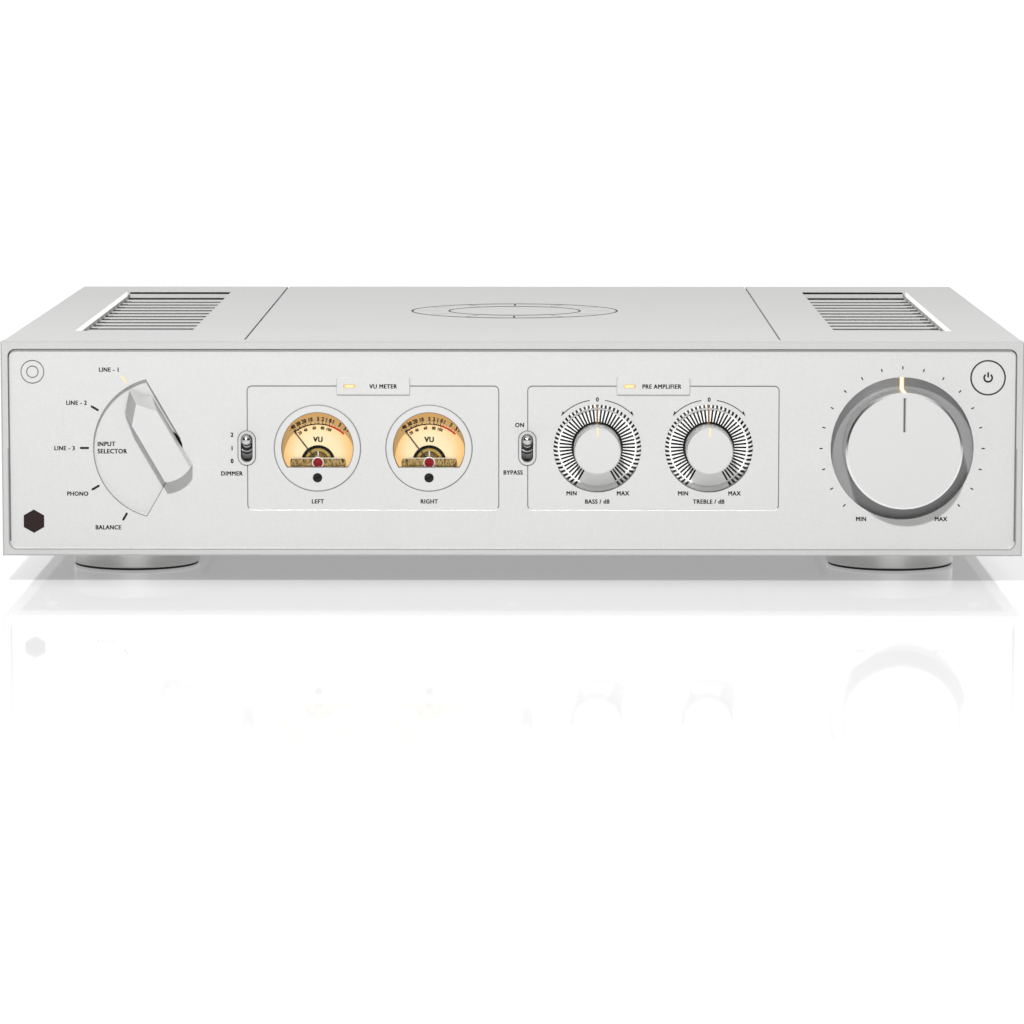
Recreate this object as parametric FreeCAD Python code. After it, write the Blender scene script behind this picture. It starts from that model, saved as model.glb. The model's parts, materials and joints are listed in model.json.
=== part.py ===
import FreeCAD, Part
import math
import os

# Integrated stereo amplifier: a full-width case with two level meters, two tone controls,
# an input selector, a volume control and a rear terminal panel.
# Millimetres. +X is right seen from the front, +Y runs front to back, +Z is up.
# The origin lies on the surface it stands on, under the middle of its overall box.

V = FreeCAD.Vector

# ---- case ----
CASE_W = 430.0
CASE_D = 350.0
BASE_Z = 12.5            # underside of the case, above the surface it stands on
TOP_Z = 103.0
HALF_W = CASE_W / 2
RIM_Y = -178.0           # front face of the front panel's rim
REAR_Y = RIM_Y + CASE_D
PANEL_T = 12.0
POCKET_D = 1.8           # how far the panel's field lies behind its rim
RIM_W = 3.0
POCKET_R = 3.2
FIELD_Y = RIM_Y + POCKET_D
PANEL_BACK = PANEL_T - POCKET_D      # depth of the panel's back face behind its field
SEAM = 0.3
COVER_T = 8.0
COVER_Z = TOP_Z - COVER_T
COVER_SEAM_X = 113.0
COVER_GAP = 0.8
SIDE_T = 6.0
BOTTOM_T = 2.5
REAR_T = 3.0
INNER_W = HALF_W - SIDE_T

# ---- engraving on the top ----
ENGRAVE_Y = RIM_Y + 183.0
ENGRAVE_R = (30.0, 47.0)
ENGRAVE_LINES = 12
ENGRAVE_W = 0.9
ENGRAVE_D = 0.5

# ---- vents in the top ----
VENT_X0 = 139.0
VENT_X1 = 188.5
VENT_Y0 = RIM_Y + 61.0
VENT_Y1 = RIM_Y + 314.0
VENT_CHAMFER = 1.4
VENT_LIP = 3.2           # thickness of the top round the vent windows
VENT_LEDGE = 3.0         # how far the grilles reach under the top
VENT_RELIEF = (0.4, 1.3)             # shadow groove in the rear wall, below the top
VENT_RELIEF_D = 1.5
SLAT_PITCH = 18.9
SLAT_GAP = 8.0
SLAT_GAPS = 12
SLAT_FIRST = 30.2        # middle of the first slanted gap in front of the window's rear edge
SLAT_REAR_GAP = 12.0
SLAT_SLANT = 1.2         # the gaps run this far back for each millimetre down
SLAT_FLARE = 2.4
SLAT_FLARE_L = 3.0

# ---- controls ----
MID_Z = 58.0             # height of the controls' centre line
KNOB_PROUD = 12.0        # the highest knobs stand this far in front of the field
SHAFT_R = 3.0
SHAFT_CLEAR = 0.05
BUSH_R = 4.5
POT_HALF = 9.0

METER_X = (-82.0, -35.0)
METER_HOLE_R = 18.45
BEZEL_R = 18.4
BEZEL_T = 2.0
BEZEL_PROUD = 0.6
BEZEL_CHAMFER = 0.6
CASE_R = 18.1
WINDOW_R = 15.0
WINDOW_FLAT = 8.0
PIVOT_DROP = 6.5
ZERO_DROP = 12.5
ZERO_R = 1.95
NEEDLE_L = 16.8
NEEDLE_REST = 37.0       # degrees left of upright
MOVEMENT_R = 7.2
ARBOR_R = 0.35
METER_DEPTH = 24.0
DIAL_DEPTH = 5.8
BRIDGE_HALF = 11.7
BRIDGE_SCREW_X = 9.2

TOGGLE_X = (-111.8, 6.4)
TOGGLE_W = 7.8
TOGGLE_H = 15.0
TOGGLE_SLOT_W = 5.0
TOGGLE_SLOT_H = 12.0
TOGGLE_TILT = 22.0
LEVER_L = 10.0
LEVER_PIVOT = 6.1        # depth of the lever's hinge behind the field
LEVER_BALL_R = 2.3
LEVER_PIN_R = 0.8

TONE_X = (35.9, 82.9)
TONE_MOUTH_R = 18.5
TONE_RING_R = 16.4
TONE_RING_IN = 10.85
TONE_SINK = 4.0
TONE_KNOB_R = 9.9
TONE_PROUD = 11.6
TONE_SLOTS = 51
TONE_PITCH = 6.0
TONE_SLOT_W = 0.8

VOLUME_X = 164.2
VOLUME_WELL_R = 30.1
VOLUME_WELL_D = 6.0
VOLUME_KNOB_R = 24.5
VOLUME_RING_T = 0.6
LIGHT_W = 2.2
LIGHT_SINK = 1.2
VOLUME_CHAMFER = 0.9
POINTER_W = 1.4
POINTER_R0 = 8.0
POINTER_R1 = 22.3

SELECTOR_X = -146.6
SELECTOR_SWEEP_R = 29.7
SELECTOR_HUB_R = 7.75
SELECTOR_SINK = 1.6
SELECTOR_HUB_D = 4.5     # depth of the half-round hole behind the bar
SELECTOR_REST = 120.0    # degrees from +X, towards +Z
SELECTOR_TIP_R = 28.5
SELECTOR_TAIL_R = 13.8
SELECTOR_HALF_BASE = 6.7
SELECTOR_HALF_TOP = 6.1
SELECTOR_PROUD = 7.4
SELECTOR_LIFT = 0.4      # underside of the bar above the field
SELECTOR_LIP = 1.4       # height of the bar's outline edge above the field

BUTTON_X = 200.0
BUTTON_Z = MID_Z + 29.9
BUTTON_R = 7.05
BUTTON_HOLE_R = 7.35
BUTTON_TRAVEL = 1.5

IR_X = -201.9
IR_Z = MID_Z - 31.1
IR_R = 5.0

EMBLEM_X = -201.8
EMBLEM_Z = MID_Z + 32.2
EMBLEM_R = (2.4, 4.8)    # plain engraved circles

FRAME_Z0 = MID_Z - 26.1
FRAME_Z1 = MID_Z + 26.25
FRAMES_X = ((-111.5, -5.6), (6.6, 112.3))
GROOVE_W = 0.45
GROOVE_D = 0.35
TAG_X = (-58.4, 59.4)
TAG_W = 30.9
TAG_H = 7.3
TAG_T = 0.9
LAMP_DX = -10.0
LAMP_W = 5.0
LAMP_H = 1.6

# ---- feet ----
FOOT_X = 165.0
FOOT_Y = (RIM_Y + 75.0, REAR_Y - 75.0)
FOOT_R = 27.5
FOOT_FILLET = 0.5
PAD_R = FOOT_R - FOOT_FILLET
PAD_T = 1.0

# ---- inside ----
BOARD_T = 1.6
CONTROL_BOARD = 27.0     # depth of the control board behind the field
FLOOR_Z = BASE_Z + BOTTOM_T
STANDOFF_H = 7.0
TOROID = (0.0, -78.0)
TOROID_R = 58.0
TOROID_HOLE_R = 18.0
TOROID_H = 56.0
CAN_R = 15.0
CAN_H = 50.0
SINK_Y0 = -112.0
SINK_Y1 = 130.0
SINK_BASE_X = 131.0
SINK_BASE_T = 7.0
SINK_Z0 = 20.0
SINK_Z1 = 88.0
FIN_PITCH = 8.0
FIN_T = 2.0

# ---- back ----
POST_X = (-189.0, -169.0, -143.0, -123.0)
POST_Z = 46.0
POST_END_Y = KNOB_PROUD - FIELD_Y    # the terminals end as far behind the origin as the knobs in front
BANANA_R = 2.0
BANANA_L = 14.0
STUD_R = 3.2
CAP_R = 7.5
POST_FLANGE_R = 8.5
POST_FLANGE_T = 3.0
SOCKET_X = (-84.0, -60.0, -36.0, -12.0)
SOCKET_Z = (40.0, 66.0)
SOCKET_R = 4.15
SOCKET_L = 9.0
SOCKET_FLANGE_R = 5.6
INLET_X = 172.0
INLET_Z = 42.0
INLET_W = 27.0
INLET_H = 19.5
INLET_D = 20.0
ROCKER_X = 172.0
ROCKER_Z = 74.0
ROCKER_W = 19.0
ROCKER_H = 13.0
ROCKER_TILT = 7.0
ROCKER_PIVOT = 2.0       # depth of the rocker's hinge inside the rear panel's outer face
ROCKER_PIN_R = 1.2
ROCKER_PIN_L = 0.7


# ---- shape helpers ----

def block(x0, x1, y0, y1, z0, z1):
    """Box between two corners."""
    return Part.makeBox(x1 - x0, y1 - y0, z1 - z0, V(x0, y0, z0))


def disc(radius, depth0, depth1, x, z):
    """Cylinder along Y between two depths behind the panel's field."""
    return Part.makeCylinder(radius, depth1 - depth0, V(x, FIELD_Y + depth0, z), V(0, 1, 0))


def cone(radius0, radius1, depth0, depth1, x, z):
    """Truncated cone along Y between two depths behind the panel's field."""
    return Part.makeCone(radius0, radius1, depth1 - depth0, V(x, FIELD_Y + depth0, z), V(0, 1, 0))


def post(radius, z0, z1, x, y):
    """Upright cylinder."""
    return Part.makeCylinder(radius, z1 - z0, V(x, y, z0))


def prism(wire, y0, y1):
    """Closed outline in a plane of constant Y, run from y0 to y1."""
    face = Part.Face(wire)
    face.translate(V(0, y0, 0))
    return face.extrude(V(0, y1 - y0, 0))


def at(x, z):
    """Point of an outline, in the plane Y = 0."""
    return V(x, 0, z)


def polygon(points):
    """Closed outline with straight sides."""
    return Part.makePolygon([at(x, z) for x, z in points + [points[0]]])


def rounded(x0, x1, z0, z1, radius):
    """Rectangular outline with round corners."""
    diagonal = radius * (1 - math.sqrt(0.5))
    edges = [
        Part.LineSegment(at(x0 + radius, z0), at(x1 - radius, z0)),
        Part.Arc(at(x1 - radius, z0), at(x1 - diagonal, z0 + diagonal), at(x1, z0 + radius)),
        Part.LineSegment(at(x1, z0 + radius), at(x1, z1 - radius)),
        Part.Arc(at(x1, z1 - radius), at(x1 - diagonal, z1 - diagonal), at(x1 - radius, z1)),
        Part.LineSegment(at(x1 - radius, z1), at(x0 + radius, z1)),
        Part.Arc(at(x0 + radius, z1), at(x0 + diagonal, z1 - diagonal), at(x0, z1 - radius)),
        Part.LineSegment(at(x0, z1 - radius), at(x0, z0 + radius)),
        Part.Arc(at(x0, z0 + radius), at(x0 + diagonal, z0 + diagonal), at(x0 + radius, z0)),
    ]
    return Part.Wire([edge.toShape() for edge in edges])


def stadium(x, z, width, height):
    """Upright slot outline with half-round ends."""
    r = width / 2
    half = height / 2 - r
    edges = [
        Part.LineSegment(at(x - r, z - half), at(x - r, z + half)),
        Part.Arc(at(x - r, z + half), at(x, z + half + r), at(x + r, z + half)),
        Part.LineSegment(at(x + r, z + half), at(x + r, z - half)),
        Part.Arc(at(x + r, z - half), at(x, z - half - r), at(x - r, z - half)),
    ]
    return Part.Wire([edge.toShape() for edge in edges])


def polar(x, z, radius, degrees):
    """Point at a radius and an angle from +X towards +Z."""
    angle = math.radians(degrees)
    return x + radius * math.cos(angle), z + radius * math.sin(angle)


def arc_flat(x, z, radius, drop):
    """Round outline cut off flat below its centre."""
    half = math.sqrt(radius * radius - drop * drop)
    arc = Part.Arc(at(x - half, z - drop), at(x, z + radius), at(x + half, z - drop))
    flat = Part.LineSegment(at(x + half, z - drop), at(x - half, z - drop))
    return Part.Wire([arc.toShape(), flat.toShape()])


def sweep_outline(x, z, radius, hub, opening):
    """Area a bar of half-width hub sweeps between +-opening degrees either side of -X."""
    reach = math.sqrt(radius * radius - hub * hub)
    direction = math.radians(180 - opening)
    tx = hub * math.sin(direction)
    tz = -hub * math.cos(direction)
    px = tx + reach * math.cos(direction)
    pz = tz + reach * math.sin(direction)
    edges = [
        Part.LineSegment(at(x + tx, z + tz), at(x + px, z + pz)),
        Part.Arc(at(x + px, z + pz), at(x - radius, z), at(x + px, z - pz)),
        Part.LineSegment(at(x + px, z - pz), at(x + tx, z - tz)),
        Part.Arc(at(x + tx, z - tz), at(x + hub, z), at(x + tx, z + tz)),
    ]
    return Part.Wire([edge.toShape() for edge in edges])


def fuse(shapes):
    """One solid from several that touch or overlap."""
    solid = shapes[0]
    if len(shapes) > 1:
        solid = solid.multiFuse(shapes[1:])
    return solid.removeSplitter()


def cut(solid, tools):
    """Solid less a list of tools."""
    return solid.cut(Part.makeCompound(tools)).removeSplitter()


def trim(solid, point, normal):
    """Remove what lies on the normal's side of a plane."""
    size = 200.0
    slab = Part.makeBox(size, size, size, V(-size / 2, -size / 2, 0))
    slab.Placement = FreeCAD.Placement(point, FreeCAD.Rotation(V(0, 0, 1), normal))
    return solid.cut(slab)


def edges_where(solid, test):
    """Edges whose every vertex passes a test."""
    return [edge for edge in solid.Edges if all(test(vertex.Point) for vertex in edge.Vertexes)]


def near(value, target):
    return abs(value - target) < 1e-4


def turned(solid, degrees, x, z):
    """Turn about the Y axis through (x, z), anticlockwise seen from the front."""
    solid.rotate(V(x, 0, z), V(0, -1, 0), degrees)
    return solid


def export(name, solids):
    """Write one node, as one solid or a group of separate solids."""
    shape = solids[0] if len(solids) == 1 else Part.makeCompound(solids)
    shape.exportStep("parts/" + name + ".step")
    print(name, len(shape.Solids), shape.isValid(), round(shape.Volume / 1000, 2))


# ---- case ----

def groove(x0, x1):
    """Thin engraved frame round a group of controls."""
    half = GROOVE_W / 2
    outer = rounded(x0 - half, x1 + half, FRAME_Z0 - half, FRAME_Z1 + half, 2.0 + half)
    inner = rounded(x0 + half, x1 - half, FRAME_Z0 + half, FRAME_Z1 - half, 2.0 - half)
    ring = prism(outer, FIELD_Y - 1, FIELD_Y + GROOVE_D)
    return ring.cut(prism(inner, FIELD_Y - 1, FIELD_Y + GROOVE_D))


def front_panel():
    solid = block(-HALF_W, HALF_W, RIM_Y, RIM_Y + PANEL_T, BASE_Z, TOP_Z)
    solid = solid.makeChamfer(0.6, edges_where(solid, lambda p: near(p.y, RIM_Y)))
    pocket = rounded(-HALF_W + RIM_W, HALF_W - RIM_W, BASE_Z + RIM_W, TOP_Z - RIM_W, POCKET_R)
    tools = [prism(pocket, RIM_Y - 1, FIELD_Y)]
    solid = cut(solid, tools)
    through = PANEL_BACK + 1
    tools = []
    for x in METER_X:
        tools.append(disc(METER_HOLE_R, -1, through, x, MID_Z))
    for x in TOGGLE_X:
        tools.append(prism(stadium(x, MID_Z, TOGGLE_W, TOGGLE_H), FIELD_Y - 1, FIELD_Y + through))
    for x in TONE_X:
        tools.append(cone(TONE_MOUTH_R, TONE_RING_R + 0.05, 0, TONE_SINK, x, MID_Z))
        tools.append(disc(TONE_RING_R + 0.05, TONE_SINK - 0.01, through, x, MID_Z))
    tools.append(disc(VOLUME_WELL_R, -1, VOLUME_WELL_D + VOLUME_RING_T, VOLUME_X, MID_Z))
    tools.append(disc(BUSH_R + 0.1, 0, through, VOLUME_X, MID_Z))
    sweep = sweep_outline(SELECTOR_X, MID_Z, SELECTOR_SWEEP_R, SELECTOR_HUB_R, 60.0)
    tools.append(prism(sweep, FIELD_Y - 1, FIELD_Y + SELECTOR_SINK))
    hub_half = block(SELECTOR_X, SELECTOR_X + 10, FIELD_Y - 1, FIELD_Y + 6, MID_Z - 10, MID_Z + 10)
    tools.append(disc(SELECTOR_HUB_R - 0.02, 0, SELECTOR_HUB_D, SELECTOR_X, MID_Z).common(hub_half))
    tools.append(disc(BUSH_R + 0.1, 0, through, SELECTOR_X, MID_Z))
    tools.append(disc(BUTTON_HOLE_R, -1, through, BUTTON_X, BUTTON_Z))
    tools.append(prism(hexagon(IR_X, IR_Z, IR_R), FIELD_Y - 1, FIELD_Y + through))
    solid = cut(solid, tools)
    grooves = [groove(x0, x1) for x0, x1 in FRAMES_X]
    for radius in EMBLEM_R:
        ring = disc(radius + GROOVE_W / 2, -1, GROOVE_D, EMBLEM_X, EMBLEM_Z)
        grooves.append(ring.cut(disc(radius - GROOVE_W / 2, -1, GROOVE_D, EMBLEM_X, EMBLEM_Z)))
    return cut(solid, grooves)


def hexagon(x, z, radius):
    """Upright six-sided outline with a corner at the top."""
    return polygon([polar(x, z, radius, 90 + 60 * i) for i in range(6)])


def top_cover_center():
    """Middle third of the top, with an engraved dial: two circles and a fan of short lines."""
    half = COVER_SEAM_X - COVER_GAP / 2
    solid = block(-half, half, RIM_Y + PANEL_T + SEAM, REAR_Y, COVER_Z, TOP_Z)
    z0 = TOP_Z - ENGRAVE_D
    tools = []
    for radius in ENGRAVE_R:
        outer = post(radius + ENGRAVE_W / 2, z0, TOP_Z + 1, 0, ENGRAVE_Y)
        tools.append(outer.cut(post(radius - ENGRAVE_W / 2, z0, TOP_Z + 1, 0, ENGRAVE_Y)))
    low, high = ENGRAVE_R
    for i in range(ENGRAVE_LINES):
        line = block(-ENGRAVE_W / 2, ENGRAVE_W / 2, ENGRAVE_Y + low + 3, ENGRAVE_Y + high - 3, z0, TOP_Z + 1)
        line.rotate(V(0, ENGRAVE_Y, 0), V(0, 0, 1), i * 360.0 / ENGRAVE_LINES)
        tools.append(line)
    return cut(solid, tools)


def top_cover(side):
    """Outer third of the top, with the vent window; side is -1 for left and 1 for right."""
    x0 = COVER_SEAM_X + COVER_GAP / 2
    solid = block(x0, HALF_W, RIM_Y + PANEL_T + SEAM, REAR_Y, COVER_Z, TOP_Z)
    solid = solid.makeChamfer(0.6, edges_where(solid, lambda p: near(p.z, TOP_Z) and near(p.x, HALF_W)))
    solid = solid.cut(block(VENT_X0, VENT_X1, VENT_Y0, VENT_Y1, COVER_Z - 1, TOP_Z + 1))
    outer = edges_where(solid, lambda p: near(p.z, TOP_Z) and near(p.x, VENT_X1))
    solid = solid.makeChamfer(VENT_CHAMFER, outer)
    low, high = VENT_RELIEF
    relief = block(VENT_X0, VENT_X1, VENT_Y1 - 1, VENT_Y1 + VENT_RELIEF_D, TOP_Z - high, TOP_Z - low)
    return mirrored(cut(solid, [grille_place(0), relief]), side)


def mirrored(solid, side):
    """The solid itself for the right side, its mirror image for the left."""
    if side > 0:
        return solid
    return solid.mirror(V(0, 0, 0), V(1, 0, 0))


def grille_place(clear):
    """Space for the right-hand grille, under the rim of its window."""
    grow = VENT_LEDGE - clear
    z1 = TOP_Z - VENT_LIP - clear
    return block(VENT_X0 - grow, VENT_X1 + grow, VENT_Y0 - grow, VENT_Y1 + grow, COVER_Z + clear - 0.01, z1)


def slat_gap(x0, x1, y0, y1):
    """Slot between two bars whose long walls lean back as they go down."""
    z1 = TOP_Z - VENT_LIP + 1
    z0 = COVER_Z - 1
    back = SLAT_SLANT * (z1 - 1 - z0)
    top = [V(x0, y0 - SLAT_SLANT, z1), V(x0, y1 - SLAT_SLANT, z1)]
    bottom = [V(x0, y1 + back, z0), V(x0, y0 + back, z0)]
    wire = Part.makePolygon(top + bottom + [top[0]])
    return Part.Face(wire).extrude(V(x1 - x0, 0, 0))


def vent_grille(side):
    """Slanted bars under the vent window, held by their ends in the pocket of the cover."""
    x0 = VENT_X0 - VENT_LEDGE - 1
    x1 = VENT_X1 + VENT_LEDGE + 1
    tools = [block(x0, x1, VENT_Y1 - SLAT_REAR_GAP, VENT_Y1 + VENT_LEDGE + 1, COVER_Z - 1, TOP_Z)]
    for i in range(SLAT_GAPS):
        y = VENT_Y1 - SLAT_FIRST - i * SLAT_PITCH
        tools.append(slat_gap(x0, x1, y - SLAT_GAP / 2, y + SLAT_GAP / 2))
        flare = VENT_X1 - SLAT_FLARE_L
        tools.append(slat_gap(flare, x1, y - SLAT_GAP / 2, y + SLAT_GAP / 2 + SLAT_FLARE))
    bars = grille_place(0.05)
    for tool in tools:
        bars = bars.cut(tool)
    return mirrored(bars, side).Solids


def side_panel(side):
    solid = block(INNER_W, HALF_W, RIM_Y + PANEL_T + SEAM, REAR_Y, BASE_Z, COVER_Z - SEAM)
    solid = solid.makeChamfer(0.6, edges_where(solid, lambda p: near(p.z, BASE_Z) and near(p.x, HALF_W)))
    return mirrored(solid, side)


def bottom_screw_places():
    """Machine screws round the edge of the bottom plate."""
    places = []
    for x in (-HALF_W + 18, 0.0, HALF_W - 18):
        for y in (RIM_Y + 24, REAR_Y - 14):
            places.append((x, y))
    return places


def foot_places():
    return [(sx * FOOT_X, y) for y in FOOT_Y for sx in (-1, 1)]


def bottom_plate():
    y0 = RIM_Y + PANEL_T + SEAM
    solid = block(-INNER_W + SEAM, INNER_W - SEAM, y0, REAR_Y, BASE_Z, FLOOR_Z)
    tools = []
    for sx in (-1, 1):
        for i in range(9):
            x = sx * 162.0 + (i - 4) * 5.5
            slot = block(x - 1.25, x + 1.25, -45, 40, BASE_Z - 1, FLOOR_Z + 1)
            tools.append(slot)
    for x, y in bottom_screw_places():
        tools.append(post(1.7, BASE_Z - 1, FLOOR_Z + 1, x, y))
    for x, y in foot_places():
        tools.append(post(2.2, BASE_Z - 1, FLOOR_Z + 1, x, y))
    return cut(solid, tools)


def rear_panel():
    solid = block(-INNER_W + SEAM, INNER_W - SEAM, REAR_Y - REAR_T, REAR_Y, FLOOR_Z, COVER_Z - SEAM)
    y0 = REAR_Y - REAR_T - 1
    y1 = REAR_Y + 1
    tools = []
    for x in POST_X:
        tools.append(Part.makeCylinder(STUD_R + 1.0, y1 - y0, V(x, y0, POST_Z), V(0, 1, 0)))
    for x in SOCKET_X:
        for z in SOCKET_Z:
            tools.append(Part.makeCylinder(SOCKET_R, y1 - y0, V(x, y0, z), V(0, 1, 0)))
    tools.append(block(INLET_X - INLET_W / 2, INLET_X + INLET_W / 2, y0, y1,
                       INLET_Z - INLET_H / 2, INLET_Z + INLET_H / 2))
    tools.append(block(ROCKER_X - ROCKER_W / 2 - 1, ROCKER_X + ROCKER_W / 2 + 1, y0, y1,
                       ROCKER_Z - ROCKER_H / 2 - 1, ROCKER_Z + ROCKER_H / 2 + 1))
    for x, z in rear_screw_places():
        tools.append(Part.makeCylinder(1.7, y1 - y0, V(x, y0, z), V(0, 1, 0)))
    for i in range(14):
        x = 40.0 + i * 6.0
        tools.append(prism(stadium(x, 58.0, 3.0, 40.0), y0, y1))
    return cut(solid, tools)


def rear_screw_places():
    """Machine screws round the edge of the rear panel."""
    columns = (-HALF_W + 14, -102.0, 8.0, 140.0, HALF_W - 14)
    return [(x, z) for x in columns for z in (FLOOR_Z + 6, COVER_Z - 8)]


def chassis_screws():
    """Round-headed screws of the bottom plate and the rear panel, and the feet's bolts."""
    screws = []
    for x, y in bottom_screw_places():
        head = post(3.0, BASE_Z - 1.6, BASE_Z, x, y)
        screws.append(fuse([head, post(1.5, BASE_Z - 0.1, BASE_Z + 9, x, y)]))
    for x, z in rear_screw_places():
        head = Part.makeCylinder(3.0, 1.8, V(x, REAR_Y, z), V(0, 1, 0))
        head = head.makeFillet(0.8, edges_where(head, lambda p: near(p.y, REAR_Y + 1.8)))
        head = head.cut(Part.makeCylinder(1.0, 1.2, V(x, REAR_Y + 0.8, z), V(0, 1, 0)))
        screws.append(fuse([head, Part.makeCylinder(1.5, 8, V(x, REAR_Y - 7.9, z), V(0, 1, 0))]))
    return screws


def feet():
    shapes = []
    for x, y in foot_places():
        foot = post(FOOT_R, PAD_T, BASE_Z, x, y)
        foot = foot.makeFillet(FOOT_FILLET, edges_where(foot, lambda p: near(p.z, PAD_T)))
        foot = foot.makeFillet(0.5, edges_where(foot, lambda p: near(p.z, BASE_Z)))
        shapes.append(fuse([foot, post(2.0, BASE_Z - 0.1, FLOOR_Z, x, y)]))
    return shapes


def foot_pads():
    shapes = []
    for x, y in foot_places():
        pad = post(PAD_R, 0, PAD_T, x, y)
        shapes.append(pad.makeFillet(0.5, edges_where(pad, lambda p: near(p.z, 0))))
    return shapes


# ---- meters ----

def meter_bezels():
    """Front plates with a round window that is flat at the bottom."""
    shapes = []
    for x in METER_X:
        plate = disc(BEZEL_R, -BEZEL_PROUD, BEZEL_T, x, MID_Z)
        front = edges_where(plate, lambda p: near(p.y, FIELD_Y - BEZEL_PROUD))
        plate = plate.makeChamfer(BEZEL_CHAMFER, front)
        window = prism(arc_flat(x, MID_Z, WINDOW_R, WINDOW_FLAT), FIELD_Y - 1, FIELD_Y + BEZEL_T + 1)
        shapes.append(cut(plate, [window, disc(ZERO_R + 0.05, -1, BEZEL_T + 1, x, MID_Z - ZERO_DROP)]))
    return shapes


def meter_lenses():
    outline = [arc_flat(x, MID_Z, WINDOW_R + 1.2, WINDOW_FLAT + 1.2) for x in METER_X]
    return [prism(wire, FIELD_Y + BEZEL_T, FIELD_Y + BEZEL_T + 1.0) for wire in outline]


def meter_cases():
    """Round cups behind the bezels."""
    shapes = []
    for x in METER_X:
        cup = disc(CASE_R, BEZEL_T, METER_DEPTH, x, MID_Z)
        shapes.append(cup.cut(disc(CASE_R - 1.0, BEZEL_T - 1, METER_DEPTH - 1.5, x, MID_Z)))
    return shapes


def meter_dials():
    """Scale plates with a half-round opening over the movement."""
    shapes = []
    for x in METER_X:
        plate = disc(CASE_R - 1.05, DIAL_DEPTH, DIAL_DEPTH + 0.5, x, MID_Z)
        shapes.append(plate.cut(disc(MOVEMENT_R, 5, 7, x, MID_Z - PIVOT_DROP)))
    return shapes


def meter_movements():
    """Brass magnet yoke behind each scale opening, with the core and the back bearing."""
    shapes = []
    for x in METER_X:
        z = MID_Z - PIVOT_DROP
        yoke = disc(MOVEMENT_R - 0.3, 6.9, 9.5, x, z).cut(disc(4.6, 6, 10, x, z))
        core = fuse([disc(3.6, 7.2, 12, x, z), disc(MOVEMENT_R - 0.3, 9.4, 12, x, z)])
        stem = disc(2.0, 11.9, METER_DEPTH - 1.5, x, z)
        bearing = disc(ARBOR_R + SHAFT_CLEAR, 7.0, 7.9, x, MID_Z - PIVOT_DROP)
        shapes.append(fuse([yoke, core, stem]).cut(bearing))
    return shapes


def meter_bridges():
    """Bar across the foot of each window, with a screw at each end, that holds the front bearing."""
    shapes = []
    for x in METER_X:
        z0 = MID_Z - WINDOW_FLAT - 1.0
        outline = rounded(x - BRIDGE_HALF, x + BRIDGE_HALF, z0, MID_Z - 4.4, 1.6)
        parts = [prism(outline, FIELD_Y + 3.5, FIELD_Y + 4.5)]
        for dx in (-BRIDGE_SCREW_X, BRIDGE_SCREW_X):
            parts.append(disc(1.3, 3.15, 3.6, x + dx, MID_Z - PIVOT_DROP))
            parts.append(disc(0.8, 4.4, DIAL_DEPTH, x + dx, MID_Z - PIVOT_DROP))
        bearing = disc(ARBOR_R + SHAFT_CLEAR, 3.9, 5.0, x, MID_Z - PIVOT_DROP)
        shapes.append(fuse(parts).cut(bearing))
    return shapes


def meter_jewels():
    """Red bearing caps on the bridges."""
    shapes = []
    for x in METER_X:
        cap = disc(2.0, 3.05, 3.5, x, MID_Z - PIVOT_DROP)
        shapes.append(cap.makeFillet(0.3, edges_where(cap, lambda p: near(p.y, FIELD_Y + 3.05))))
    return shapes


def needle(x):
    """Pointer blade with its hub and counterweight, leaning to the low end of the scale."""
    z = MID_Z - PIVOT_DROP
    y0 = FIELD_Y + 4.9
    blade = polygon([(x - 0.24, z), (x - 0.2, z + NEEDLE_L), (x + 0.2, z + NEEDLE_L), (x + 0.24, z)])
    parts = [prism(blade, y0, y0 + 0.3), disc(1.1, 4.9, 5.4, x, z), disc(ARBOR_R, 4.0, 7.8, x, z)]
    parts.append(block(x - 0.38, x + 0.38, y0, y0 + 0.3, z + NEEDLE_L - 1.4, z + NEEDLE_L))
    parts.append(block(x - 0.25, x + 0.25, y0, y0 + 0.3, z - 3.0, z))
    parts.append(block(x - 0.7, x + 0.7, y0, y0 + 0.5, z - 3.0, z - 2.0))
    return turned(fuse(parts), NEEDLE_REST, x, z)


def zero_screws():
    """Slotted screws under the windows that set the pointers to zero."""
    shapes = []
    for x in METER_X:
        z = MID_Z - ZERO_DROP
        head = disc(ZERO_R, -0.5, BEZEL_T, x, z)
        slot = block(x - 3, x + 3, FIELD_Y - 1, FIELD_Y + 0.2, z - 0.25, z + 0.25)
        shapes.append(turned(head.cut(slot), 25, x, z))
    return shapes


# ---- toggles ----

def toggle_bezels():
    shapes = []
    for x in TOGGLE_X:
        outline = stadium(x, MID_Z, TOGGLE_W - 0.1, TOGGLE_H - 0.1)
        solid = prism(outline, FIELD_Y - 0.7, FIELD_Y + 3)
        front = [edge for edge in solid.Edges
                 if all(near(vertex.Point.y, FIELD_Y - 0.7) for vertex in edge.Vertexes)]
        solid = solid.makeChamfer(0.5, front)
        hole = stadium(x, MID_Z, TOGGLE_SLOT_W, TOGGLE_SLOT_H)
        shapes.append(solid.cut(prism(hole, FIELD_Y - 2, FIELD_Y + 4)))
    return shapes


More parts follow.
